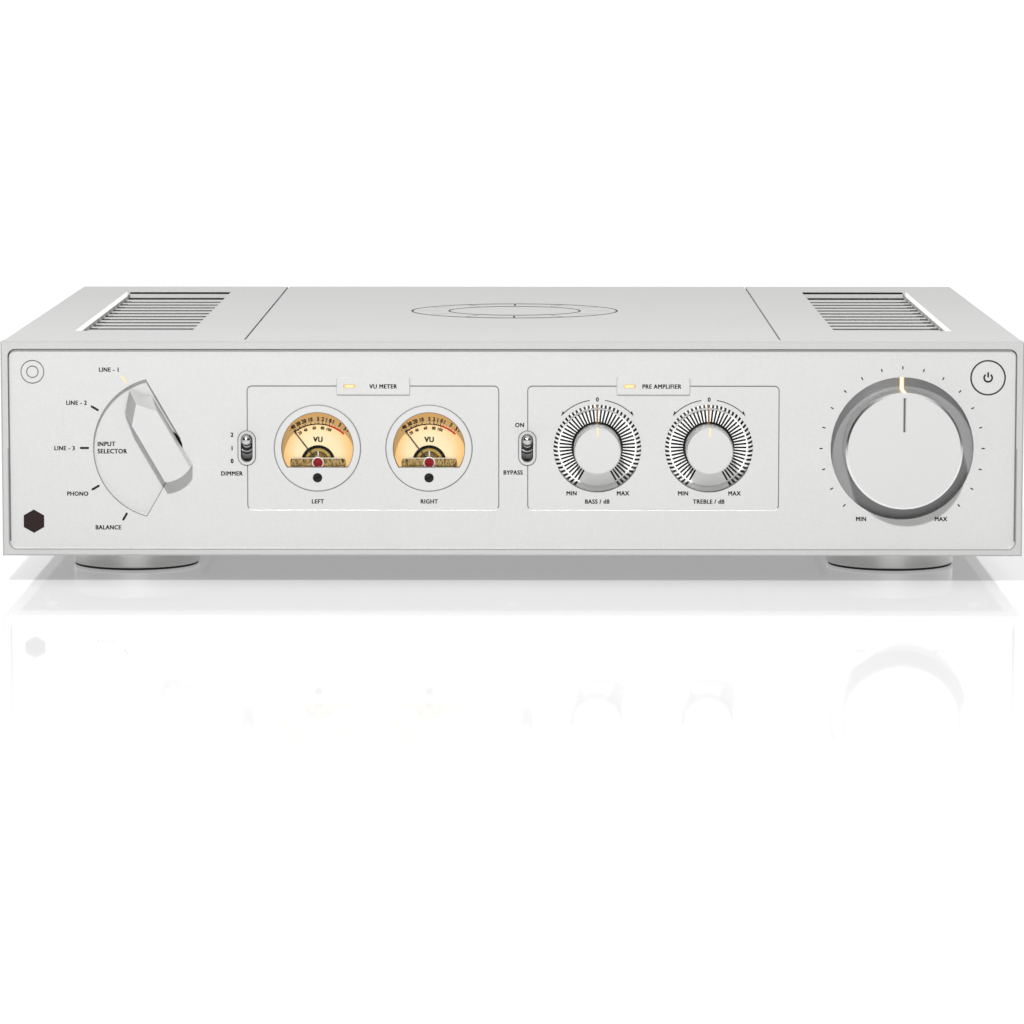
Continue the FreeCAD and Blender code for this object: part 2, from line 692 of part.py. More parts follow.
def toggle_lever(x):
    """Ball-ended lever tilted up, with its hinge ball inside the switch."""
    pivot = FIELD_Y + LEVER_PIVOT
    stem = Part.makeCone(1.25, 1.7, LEVER_L - 1, V(x, pivot, MID_Z), V(0, -1, 0))
    tip = Part.makeSphere(LEVER_BALL_R, V(x, pivot - LEVER_L, MID_Z))
    hinge = Part.makeCylinder(1.8, 3.6, V(x - 1.8, pivot, MID_Z), V(1, 0, 0))
    pin = Part.makeCylinder(LEVER_PIN_R, 6.6, V(x - 3.3, pivot, MID_Z), V(1, 0, 0))
    solid = fuse([stem, tip, hinge, pin])
    solid.rotate(V(x, pivot, MID_Z), V(1, 0, 0), -TOGGLE_TILT)
    return solid


def toggle_bodies():
    """Switch boxes behind the panel, open in front for the lever."""
    shapes = []
    for x in TOGGLE_X:
        outline = rounded(x - 6, x + 6, MID_Z - 8, MID_Z + 8, 1)
        box = prism(outline, FIELD_Y + PANEL_BACK + 0.1, FIELD_Y + 22)
        outline = stadium(x, MID_Z, TOGGLE_W - 0.2, TOGGLE_H - 0.2)
        neck = prism(outline, FIELD_Y + 3, FIELD_Y + PANEL_BACK + 0.2)
        room = prism(stadium(x, MID_Z, TOGGLE_SLOT_W, TOGGLE_SLOT_H), FIELD_Y + 2, FIELD_Y + 9.5)
        hinge = V(x - 3.4, FIELD_Y + LEVER_PIVOT, MID_Z)
        bearing = Part.makeCylinder(LEVER_PIN_R + SHAFT_CLEAR, 6.8, hinge, V(1, 0, 0))
        shapes.append(cut(fuse([box, neck]), [room, bearing]))
    return shapes


# ---- rotary controls ----

def knob_bore(x, depth0, depth1):
    return disc(SHAFT_R, depth0, depth1, x, MID_Z)


def tone_dial_rings():
    """Slotted rings round the tone knobs, each a shallow cup with the knob in its middle."""
    shapes = []
    for x in TONE_X:
        solid = disc(TONE_RING_R, TONE_SINK, 8.0, x, MID_Z)
        tools = [disc(TONE_RING_IN, TONE_SINK - 1, 7.0, x, MID_Z), disc(BUSH_R + 0.1, 6, 9, x, MID_Z)]
        for i in range(TONE_SLOTS):
            angle = (i - (TONE_SLOTS - 1) / 2) * TONE_PITCH
            slot = block(x - TONE_SLOT_W / 2, x + TONE_SLOT_W / 2, FIELD_Y + TONE_SINK - 1,
                         FIELD_Y + TONE_SINK + 0.8, MID_Z + TONE_RING_IN - 0.5, MID_Z + TONE_RING_R - 0.4)
            tools.append(turned(slot, angle, x, MID_Z))
        shapes.append(cut(solid, tools))
    return shapes


def tone_knob(x):
    solid = disc(TONE_KNOB_R, -TONE_PROUD, 6.0, x, MID_Z)
    solid = solid.makeChamfer(0.5, edges_where(solid, lambda p: near(p.y, FIELD_Y - TONE_PROUD)))
    z1 = MID_Z + TONE_KNOB_R
    mark = block(x - 0.35, x + 0.35, FIELD_Y - TONE_PROUD - 1, FIELD_Y - TONE_PROUD + 0.4, z1 - 3.4, z1 + 1)
    recess = disc(7.0, 2.5, 7.0, x, MID_Z)
    return cut(solid, [mark, recess, knob_bore(x, -6, 3)])


def volume_knob():
    x = VOLUME_X
    solid = disc(VOLUME_KNOB_R, -KNOB_PROUD, 5.2, x, MID_Z)
    face = FIELD_Y - KNOB_PROUD
    solid = solid.makeChamfer(VOLUME_CHAMFER, edges_where(solid, lambda p: near(p.y, face)))
    half = POINTER_W / 2
    pointer = block(x - half, x + half, face - 1, face + 0.8, MID_Z + POINTER_R0, MID_Z + POINTER_R1)
    recess = disc(VOLUME_KNOB_R - 4, 0, 6.0, x, MID_Z)
    half = LIGHT_W / 2
    inner = MID_Z + VOLUME_KNOB_R - LIGHT_SINK
    channel = block(x - half, x + half, face + VOLUME_CHAMFER, FIELD_Y + 6, inner, MID_Z + VOLUME_KNOB_R + 1)
    return cut(solid, [pointer, recess, channel, knob_bore(x, -8, 1)])


def volume_ring():
    """Ring that lines the floor of the volume well."""
    solid = disc(VOLUME_WELL_R - 0.05, VOLUME_WELL_D, VOLUME_WELL_D + VOLUME_RING_T, VOLUME_X, MID_Z)
    return solid.cut(disc(BUSH_R + 0.1, 0, 10, VOLUME_X, MID_Z))


def volume_light():
    """Light guide that turns with the volume knob: up the knob's side and out over the well's floor."""
    x0 = VOLUME_X - LIGHT_W / 2
    x1 = VOLUME_X + LIGHT_W / 2
    inner = MID_Z + VOLUME_KNOB_R - LIGHT_SINK
    edge = FIELD_Y - KNOB_PROUD + VOLUME_CHAMFER
    arm = block(x0, x1, FIELD_Y + 5.2, FIELD_Y + 5.7, inner, MID_Z + VOLUME_WELL_R - 0.4)
    strip = block(x0, x1, edge, FIELD_Y + 5.3, inner, MID_Z + VOLUME_KNOB_R + 0.1)
    return fuse([arm, strip])


def selector_bar():
    """Pointer bar in its own frame: tip along +X, thickness along -Y, pivot on the Y axis."""
    half = SELECTOR_HALF_BASE
    corner = SELECTOR_TIP_R - 7.5
    tail = -math.sqrt(SELECTOR_TAIL_R ** 2 - half ** 2)
    edges = [
        Part.LineSegment(at(tail, half), at(corner, half)),
        Part.LineSegment(at(corner, half), at(SELECTOR_TIP_R, 0)),
        Part.LineSegment(at(SELECTOR_TIP_R, 0), at(corner, -half)),
        Part.LineSegment(at(corner, -half), at(tail, -half)),
        Part.Arc(at(tail, -half), at(-SELECTOR_TAIL_R, 0), at(tail, half)),
    ]
    outline = Part.Wire([edge.toShape() for edge in edges])
    solid = prism(outline, -SELECTOR_PROUD, -SELECTOR_LIFT)
    rise = SELECTOR_PROUD - SELECTOR_LIP
    for side in (-1, 1):
        draft = (half - SELECTOR_HALF_TOP) / rise
        solid = trim(solid, V(0, -SELECTOR_LIP, side * half), V(0, -draft, side))
        tip = V(SELECTOR_TIP_R, -SELECTOR_LIP, 0)
        ridge = V(SELECTOR_TIP_R - 6.4, -SELECTOR_PROUD, 0)
        shoulder = V(SELECTOR_TIP_R - 13.3, -SELECTOR_PROUD, side * SELECTOR_HALF_TOP)
        normal = (ridge - tip).cross(shoulder - tip)
        if normal.y > 0:
            normal = normal * -1
        solid = trim(solid, tip, normal)
    return solid


def selector_knob():
    solid = selector_bar()
    solid.translate(V(SELECTOR_X, FIELD_Y, MID_Z))
    solid = turned(solid, SELECTOR_REST, SELECTOR_X, MID_Z)
    hub = disc(6.4, -1, SELECTOR_SINK - 0.4, SELECTOR_X, MID_Z)
    return cut(fuse([solid, hub]), [knob_bore(SELECTOR_X, -5, 3)])


def shaft(x, depth0):
    """Control shaft from inside its knob to inside its control."""
    return disc(SHAFT_R, depth0, 16.0, x, MID_Z)


def rotary_body(x, front, half):
    """Square control body with a threaded bush and a nut behind the panel."""
    body = block(x - half, x + half, FIELD_Y + 12.0, FIELD_Y + 24.0, MID_Z - half, MID_Z + half)
    bush = disc(BUSH_R, front, 12.5, x, MID_Z)
    return fuse([body, bush]).cut(disc(SHAFT_R + SHAFT_CLEAR, front - 1, 16.5, x, MID_Z))


def selector_switch():
    """Rotary switch: body, bush and a stack of round contact wafers."""
    x = SELECTOR_X
    body = rotary_body(x, SELECTOR_SINK, 13.0)
    return fuse([body, disc(12.0, 23.9, 26.5, x, MID_Z)])


def potentiometers():
    shapes = [rotary_body(x, 7.2, POT_HALF) for x in TONE_X]
    shapes.append(rotary_body(VOLUME_X, VOLUME_WELL_D + 0.2, 13.0))
    return shapes


# ---- other front pieces ----

def tag_plates():
    """Raised label plates on the top line of each frame, each with a window for its lamp."""
    shapes = []
    for x in TAG_X:
        outline = rounded(x - TAG_W / 2, x + TAG_W / 2, FRAME_Z1 - TAG_H / 2, FRAME_Z1 + TAG_H / 2, 0.6)
        plate = prism(outline, FIELD_Y - TAG_T, FIELD_Y)
        front = [edge for edge in plate.Edges
                 if all(near(vertex.Point.y, FIELD_Y - TAG_T) for vertex in edge.Vertexes)]
        plate = plate.makeChamfer(0.25, front)
        lamp_x = x + LAMP_DX
        half_w = LAMP_W / 2
        half_h = LAMP_H / 2
        window = rounded(lamp_x - half_w, lamp_x + half_w, FRAME_Z1 - half_h, FRAME_Z1 + half_h, 0.5)
        shapes.append(plate.cut(prism(window, FIELD_Y - 2, FIELD_Y + 1)))
    return shapes


def tag_lamps():
    """Light window in each label plate."""
    shapes = []
    for x in TAG_X:
        lamp_x = x + LAMP_DX
        half_w = LAMP_W / 2 - 0.05
        half_h = LAMP_H / 2 - 0.05
        window = rounded(lamp_x - half_w, lamp_x + half_w, FRAME_Z1 - half_h, FRAME_Z1 + half_h, 0.45)
        shapes.append(prism(window, FIELD_Y - TAG_T - 0.1, FIELD_Y))
    return shapes


def power_button():
    solid = disc(BUTTON_R, -0.4, 6.0, BUTTON_X, BUTTON_Z)
    solid = solid.makeChamfer(0.35, edges_where(solid, lambda p: near(p.y, FIELD_Y - 0.4)))
    return fuse([solid, disc(3.0, 5.9, 15.0, BUTTON_X, BUTTON_Z)])


def power_switch():
    """Push switch behind the power button, clear of the button's whole travel."""
    x = BUTTON_X - 0.5
    y = FIELD_Y + 15.0 + BUTTON_TRAVEL + 0.3
    return block(x - 6, x + 6, y, FIELD_Y + CONTROL_BOARD, BUTTON_Z - 6, BUTTON_Z + 6)


def ir_window():
    return prism(hexagon(IR_X, IR_Z, IR_R - 0.06), FIELD_Y + 0.3, FIELD_Y + PANEL_BACK)


# ---- inside ----

def control_board():
    """Board that carries the controls, standing behind the front panel."""
    y0 = FIELD_Y + CONTROL_BOARD
    return block(-198, 206, y0, y0 + BOARD_T, 22, 92)


def transformer():
    """Toroidal mains transformer with its clamping disc and bolt."""
    x, y = TOROID
    ring = post(TOROID_R, FLOOR_Z + 1, FLOOR_Z + TOROID_H, x, y)
    ring = ring.makeFillet(9.0, [edge for edge in ring.Edges if edge.Curve.TypeId == "Part::GeomCircle"])
    ring = ring.cut(post(TOROID_HOLE_R, FLOOR_Z, FLOOR_Z + TOROID_H + 1, x, y))
    disc_plate = post(28.0, FLOOR_Z + TOROID_H, FLOOR_Z + TOROID_H + 2.5, x, y)
    bolt = post(4.0, FLOOR_Z, FLOOR_Z + TOROID_H + 8, x, y)
    return [ring, fuse([disc_plate, bolt])]


def standoff_places():
    return [(x, y) for x in (-98.0, 0.0, 98.0) for y in (-6.0, 140.0)]


def circuit_boards():
    """Supply board on pillars, two upright output boards, and the board behind the line sockets."""
    z0 = FLOOR_Z + STANDOFF_H
    boards = [block(-104, 104, -12, 146, z0, z0 + BOARD_T)]
    for side in (-1, 1):
        boards.append(mirrored(block(118, 118 + BOARD_T, SINK_Y0 + 6, SINK_Y1 - 6, 24, 86), side))
    y1 = REAR_Y - REAR_T - 6
    boards.append(block(-98, 4, y1 - BOARD_T, y1, 28, 80))
    return boards


def board_supports():
    """Pillars of the supply board, and the strips that carry the coolers."""
    pillars = [post(3.0, FLOOR_Z, FLOOR_Z + STANDOFF_H, x, y) for x, y in standoff_places()]
    strips = [mirrored(block(SINK_BASE_X, VENT_X1 + 4, y, y + 12, FLOOR_Z, SINK_Z0), side)
              for side in (-1, 1) for y in (SINK_Y0, SINK_Y1 - 12)]
    return pillars + strips


def filter_capacitors():
    z0 = FLOOR_Z + STANDOFF_H + BOARD_T
    shapes = []
    for x in (-72.0, -36.0, 36.0, 72.0):
        for y in (30.0, 66.0):
            can = post(CAN_R, z0, z0 + CAN_H, x, y)
            shapes.append(can.makeFillet(1.5, edges_where(can, lambda p: near(p.z, z0 + CAN_H))))
    return shapes


def heat_sinks():
    """Finned coolers under the vents, upright fins across a base plate."""
    shapes = []
    for side in (-1, 1):
        base = block(SINK_BASE_X, SINK_BASE_X + SINK_BASE_T, SINK_Y0, SINK_Y1, SINK_Z0, SINK_Z1)
        parts = [base]
        count = int((SINK_Y1 - SINK_Y0 - FIN_T) / FIN_PITCH) + 1
        for i in range(count):
            y = SINK_Y0 + i * FIN_PITCH
            parts.append(block(SINK_BASE_X + SINK_BASE_T - 0.1, VENT_X1 + 4, y, y + FIN_T, SINK_Z0, SINK_Z1))
        shapes.append(mirrored(fuse(parts), side))
    return shapes


def output_transistors():
    shapes = []
    for side in (-1, 1):
        for i in range(4):
            y = -84.0 + i * 56.0
            shapes.append(mirrored(block(SINK_BASE_X - 5, SINK_BASE_X, y - 8, y + 8, 50, 72), side))
    return shapes


# ---- back ----

def line_sockets():
    """Coaxial sockets: flange, barrel and centre contact well."""
    shapes = []
    for x in SOCKET_X:
        for z in SOCKET_Z:
            flange = Part.makeCylinder(SOCKET_FLANGE_R, 2.0, V(x, REAR_Y, z), V(0, 1, 0))
            start = REAR_Y - REAR_T - 6
            barrel = Part.makeCylinder(SOCKET_R, REAR_Y + SOCKET_L - start, V(x, start, z), V(0, 1, 0))
            well = Part.makeCylinder(1.7, 10, V(x, REAR_Y + SOCKET_L - 9, z), V(0, 1, 0))
            barrel = barrel.makeChamfer(0.4, edges_where(barrel, lambda p: near(p.y, REAR_Y + SOCKET_L)))
            shapes.append(cut(fuse([flange, barrel]), [well]))
    return shapes


def terminal_posts():
    """Speaker posts: flange, hollow stud and rear nut."""
    shapes = []
    for x in POST_X:
        flange = Part.makeCylinder(POST_FLANGE_R, POST_FLANGE_T, V(x, REAR_Y, POST_Z), V(0, 1, 0))
        sleeve = Part.makeCylinder(STUD_R + 1.0, REAR_T + 0.1, V(x, REAR_Y - REAR_T, POST_Z), V(0, 1, 0))
        stud = Part.makeCylinder(STUD_R, POST_END_Y - REAR_Y + 14, V(x, REAR_Y - 14, POST_Z), V(0, 1, 0))
        nut = Part.makeCylinder(POST_FLANGE_R - 1, 3.0, V(x, REAR_Y - REAR_T - 3, POST_Z), V(0, 1, 0))
        bore = Part.makeCylinder(BANANA_R, BANANA_L + 1, V(x, POST_END_Y - BANANA_L, POST_Z), V(0, 1, 0))
        shapes.append(cut(fuse([flange, sleeve, stud, nut]), [bore]))
    return shapes


def terminal_cap(x):
    """Fluted screw cap on a speaker post."""
    y0 = REAR_Y + POST_FLANGE_T + 0.4
    length = POST_END_Y - y0
    solid = Part.makeCylinder(CAP_R, length, V(x, y0, POST_Z), V(0, 1, 0))
    solid = solid.makeChamfer(0.6, edges_where(solid, lambda p: near(p.y, POST_END_Y)))
    tools = [Part.makeCylinder(STUD_R + 0.06, length + 2, V(x, y0 - 1, POST_Z), V(0, 1, 0))]
    for i in range(16):
        fx, fz = polar(x, POST_Z, CAP_R + 0.35, i * 22.5)
        tools.append(Part.makeCylinder(0.8, length - 2.0, V(fx, y0 - 0.5, fz), V(0, 1, 0)))
    return cut(solid, tools)


def inlet_outline(grow):
    """Appliance inlet outline: a rectangle with its two top corners cut off."""
    w = INLET_W / 2 - 1.5 + grow
    h = INLET_H / 2 - 1.5 + grow
    c = 4.0
    x, z = INLET_X, INLET_Z
    return polygon([(x - w, z - h), (x + w, z - h), (x + w, z + h - c), (x + w - c, z + h),
                    (x - w + c, z + h), (x - w, z + h - c)])


def power_inlet():
    """Three-pin mains inlet with its flange."""
    x0 = INLET_X - INLET_W / 2
    z0 = INLET_Z - INLET_H / 2
    body = block(x0, x0 + INLET_W, REAR_Y - INLET_D, REAR_Y + 1, z0, z0 + INLET_H)
    flange = prism(rounded(x0 - 3, x0 + INLET_W + 3, z0 - 2.5, z0 + INLET_H + 2.5, 2), REAR_Y, REAR_Y + 2.5)
    solid = fuse([body, flange])
    solid = solid.cut(prism(inlet_outline(0), REAR_Y - INLET_D + 2, REAR_Y + 3))
    pins = []
    for dx, dz in ((-7.0, -1.5), (0.0, 2.5), (7.0, -1.5)):
        px = INLET_X + dx
        pz = INLET_Z + dz
        pins.append(block(px - 1.0, px + 1.0, REAR_Y - INLET_D + 1.9, REAR_Y - 6, pz - 2.0, pz + 2.0))
    return [fuse([solid] + pins)]


def rocker_frame():
    """Frame of the mains rocker."""
    w = ROCKER_W / 2 + 1
    h = ROCKER_H / 2 + 1
    x, z = ROCKER_X, ROCKER_Z
    body = block(x - w, x + w, REAR_Y - 16, REAR_Y + 1, z - h, z + h)
    flange = prism(rounded(x - w - 2, x + w + 2, z - h - 2, z + h + 2, 1.5), REAR_Y, REAR_Y + 1.8)
    room = block(x - w + 1, x + w - 1, REAR_Y - 12, REAR_Y + 3, z - h + 1, z + h - 1)
    half = h - 1 + ROCKER_PIN_L
    bearing = post(ROCKER_PIN_R + SHAFT_CLEAR, z - half, z + half, x, REAR_Y - ROCKER_PIVOT)
    return cut(fuse([body, flange]), [room, bearing])


def mains_rocker():
    """Rocker key, tipped to its on side; its two ends take turns standing proud."""
    half = ROCKER_W / 2 - 0.9
    high = ROCKER_H / 2 - 0.4
    y = REAR_Y - ROCKER_PIVOT
    low = half - 1.2
    points = [V(-half, 4.4, 0), V(0, 2.6, 0), V(half, 4.4, 0), V(low, -3.0, 0), V(-low, -3.0, 0)]
    face = Part.Face(Part.makePolygon(points + [points[0]]))
    solid = face.extrude(V(0, 0, 2 * high))
    solid.translate(V(ROCKER_X, y, ROCKER_Z - high))
    pin = ROCKER_H / 2 + ROCKER_PIN_L - 0.1
    solid = fuse([solid, post(ROCKER_PIN_R, ROCKER_Z - pin, ROCKER_Z + pin, ROCKER_X, y)])
    solid.rotate(V(ROCKER_X, y, ROCKER_Z), V(0, 0, 1), ROCKER_TILT)
    return solid


def main():
    os.makedirs("parts", exist_ok=True)
    export("front_panel", [front_panel()])
    export("top_cover_center", [top_cover_center()])
    export("bottom_plate", [bottom_plate()])
    export("rear_panel", [rear_panel()])
    for name, side in (("left", -1), ("right", 1)):
        export("top_cover_" + name, [top_cover(side)])
        export("vent_grille_" + name, vent_grille(side))
        export("side_panel_" + name, [side_panel(side)])
    export("feet", feet())
    export("foot_pads", foot_pads())
    export("chassis_screws", chassis_screws())

    export("meter_bezels", meter_bezels())
    export("meter_lenses", meter_lenses())
    export("meter_cases", meter_cases())
    export("meter_dials", meter_dials())
    export("meter_movements", meter_movements())
    export("meter_bridges", meter_bridges())
    export("meter_jewels", meter_jewels())
    export("zero_screws", zero_screws())
    export("needle_left", [needle(METER_X[0])])
    export("needle_right", [needle(METER_X[1])])

    export("toggle_bezels", toggle_bezels())
    export("dimmer_lever", [toggle_lever(TOGGLE_X[0])])
    export("bypass_lever", [toggle_lever(TOGGLE_X[1])])

    export("tone_dial_rings", tone_dial_rings())
    for name, x in (("bass", TONE_X[0]), ("treble", TONE_X[1])):
        export(name + "_knob", [tone_knob(x)])
        export(name + "_shaft", [shaft(x, -6.0)])
    export("volume_ring", [volume_ring()])
    export("volume_light", [volume_light()])
    export("volume_knob", [volume_knob()])
    export("volume_shaft", [shaft(VOLUME_X, -8.0)])
    export("selector_knob", [selector_knob()])
    export("selector_shaft", [shaft(SELECTOR_X, -5.0)])
    export("selector_switch", [selector_switch()])
    export("potentiometers", potentiometers())

    export("tag_plates", tag_plates())
    export("tag_lamps", tag_lamps())
    export("power_button", [power_button()])
    export("panel_switches", toggle_bodies() + [power_switch()])
    export("ir_window", [ir_window()])

    export("control_board", [control_board()])
    export("transformer", transformer())
    export("circuit_boards", circuit_boards())
    export("board_supports", board_supports())
    export("filter_capacitors", filter_capacitors())
    export("heat_sinks", heat_sinks())
    export("output_transistors", output_transistors())

    export("line_sockets", line_sockets())
    export("terminal_posts", terminal_posts())
    for i, x in enumerate(POST_X):
        export("terminal_cap_" + str(i + 1), [terminal_cap(x)])
    export("power_inlet", power_inlet())
    export("rocker_frame", [rocker_frame()])
    export("mains_rocker", [mains_rocker()])


main()
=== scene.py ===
import json
import math

import bmesh
import bpy
from mathutils import Matrix, Vector


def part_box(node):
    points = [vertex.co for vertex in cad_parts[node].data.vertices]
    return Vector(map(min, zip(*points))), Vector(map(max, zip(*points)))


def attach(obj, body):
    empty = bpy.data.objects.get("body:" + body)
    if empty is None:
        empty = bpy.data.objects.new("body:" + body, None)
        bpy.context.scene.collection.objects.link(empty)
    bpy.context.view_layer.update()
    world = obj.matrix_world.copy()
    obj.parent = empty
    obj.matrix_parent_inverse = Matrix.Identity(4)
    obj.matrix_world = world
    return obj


# Stereo amplifier: finishes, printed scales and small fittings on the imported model, in metres.

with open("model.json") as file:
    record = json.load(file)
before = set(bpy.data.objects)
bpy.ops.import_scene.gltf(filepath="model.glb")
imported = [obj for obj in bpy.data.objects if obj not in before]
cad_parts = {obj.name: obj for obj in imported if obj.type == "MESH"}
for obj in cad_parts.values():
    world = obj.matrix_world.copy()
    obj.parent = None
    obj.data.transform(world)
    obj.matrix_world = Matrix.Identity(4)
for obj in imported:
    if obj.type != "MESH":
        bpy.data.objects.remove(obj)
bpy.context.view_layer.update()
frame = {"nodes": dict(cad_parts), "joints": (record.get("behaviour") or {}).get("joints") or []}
nodes = frame["nodes"]
joints = {joint["name"]: joint for joint in frame["joints"]}

MM = 0.001
SKIN = 0.04 * MM          # a mask that leaves a face out starts this far under it


# ---- places, from the frame where it has them ----

def pivot(name):
    """A joint's place at rest."""
    return Vector(joints[name]["pos_m"])


VOLUME = pivot("volume_turn")
SELECTOR = pivot("selector_turn")
TONES = (pivot("bass_turn"), pivot("treble_turn"))
NEEDLES = (pivot("left_needle_swing"), pivot("right_needle_swing"))
TOGGLES = (pivot("dimmer_tip"), pivot("bypass_tip"))
FIELD_Y = VOLUME.y
MID_Z = VOLUME.z

# Front panel: a rim round a sunken field, the selector's recess and the tone controls' mouths.
# A rounded outline is given by its half width, half height, middle height and corner.
FRONT_LOW, FRONT_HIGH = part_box("front_panel")
RIM_Y = FRONT_LOW.y
RIM_BACK = RIM_Y + 0.7 * MM
RIM_W = 3.0 * MM
FRONT_HALF_H = (FRONT_HIGH.z - FRONT_LOW.z) / 2
POCKET = (FRONT_HIGH.x - RIM_W, FRONT_HALF_H - RIM_W, FRONT_LOW.z + FRONT_HALF_H, 3.2 * MM)
SELECTOR_FLOOR = FIELD_Y + 1.6 * MM
SWEEP_R = 29.7 * MM
HUB_R = 7.75 * MM
MOUTH_R = 18.55 * MM
RING_Y = FIELD_Y + 4.0 * MM
CUT_DEPTH = 0.7 * MM
FRAME_OUT = 112.6 * MM    # outer sides of the cut frames round the meters and the tone controls
FRAME_DROP = 25.5 * MM    # their lower edge, below the middle of the panel

# Controls and label plates.
KNOB_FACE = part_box("volume_knob")[0].y
CHAMFER = 0.92 * MM
FACE_R = 23.4 * MM
SLOT_HALF = 0.42 * MM
SLOT_RISE = 7.9 * MM
BUTTON_LOW, BUTTON_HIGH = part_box("power_button")
BUTTON = (BUTTON_LOW + BUTTON_HIGH) / 2
BUTTON_R = 6.88 * MM
BUTTON_RING = 7.50 * MM
TAG_LOW, TAG_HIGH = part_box("tag_plates")
TAG_Z = (TAG_LOW.z + TAG_HIGH.z) / 2
LAMP_LOW, LAMP_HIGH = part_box("tag_lamps")
LAMP_HALF = (2.5 * MM, 0.8 * MM)
LAMPS = (Vector((LAMP_LOW.x + LAMP_HALF[0], 0, 0)), Vector((LAMP_HIGH.x - LAMP_HALF[0], 0, 0)))
LAMP_Z = (LAMP_LOW.z + LAMP_HIGH.z) / 2
TOGGLE_RING = (3.9 * MM, 7.5 * MM, MID_Z, 3.9 * MM)
LEVER_REACH = Vector((0, -9.27 * MM, 3.75 * MM))    # from a toggle's pivot to the middle of its ball
LEVER_TILT = math.atan2(LEVER_REACH.z, -LEVER_REACH.y)
BALL_R = 2.33 * MM
BALL_FACE_R = 1.98 * MM

# Meters.
DIAL_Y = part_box("meter_dials")[0].y
MOVEMENT_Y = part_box("meter_movements")[0].y
BRIDGE_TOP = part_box("meter_bridges")[1].z
BEZEL_R = 18.0 * MM
WINDOW_R = 15.25 * MM
WINDOW_DROP = 8.2 * MM

# Top covers.
TOP_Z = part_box("top_cover_center")[1].z
GRILLE_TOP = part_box("vent_grille_left")[1].z
VENT_OUT = 188.5 * MM
VENT_FRONT = RIM_Y + 61.0 * MM
VENT_BACK = RIM_Y + 314.0 * MM
BEVEL = 1.42 * MM
ENGRAVED_Y = RIM_Y + 183.0 * MM
ENGRAVED_R = (30.0 * MM, 47.0 * MM)

CASE_TONE = (0.60, 0.60, 0.595)
# The front is the case's aluminium; its darker tone is painted shade for how light falls on the front.
FRONT_TONE = (0.545, 0.545, 0.54)
KNOB_TONE = (0.665, 0.665, 0.66)
BRIGHT_TONE = (0.95, 0.95, 0.94)
CASE_ROUGHNESS = 0.78
FINE_GRAIN = 0.42 * MM
INK_T = 0.03 * MM


def grey(level):
    """A neutral colour."""
    return level, level, level


# ---- shader helpers ----

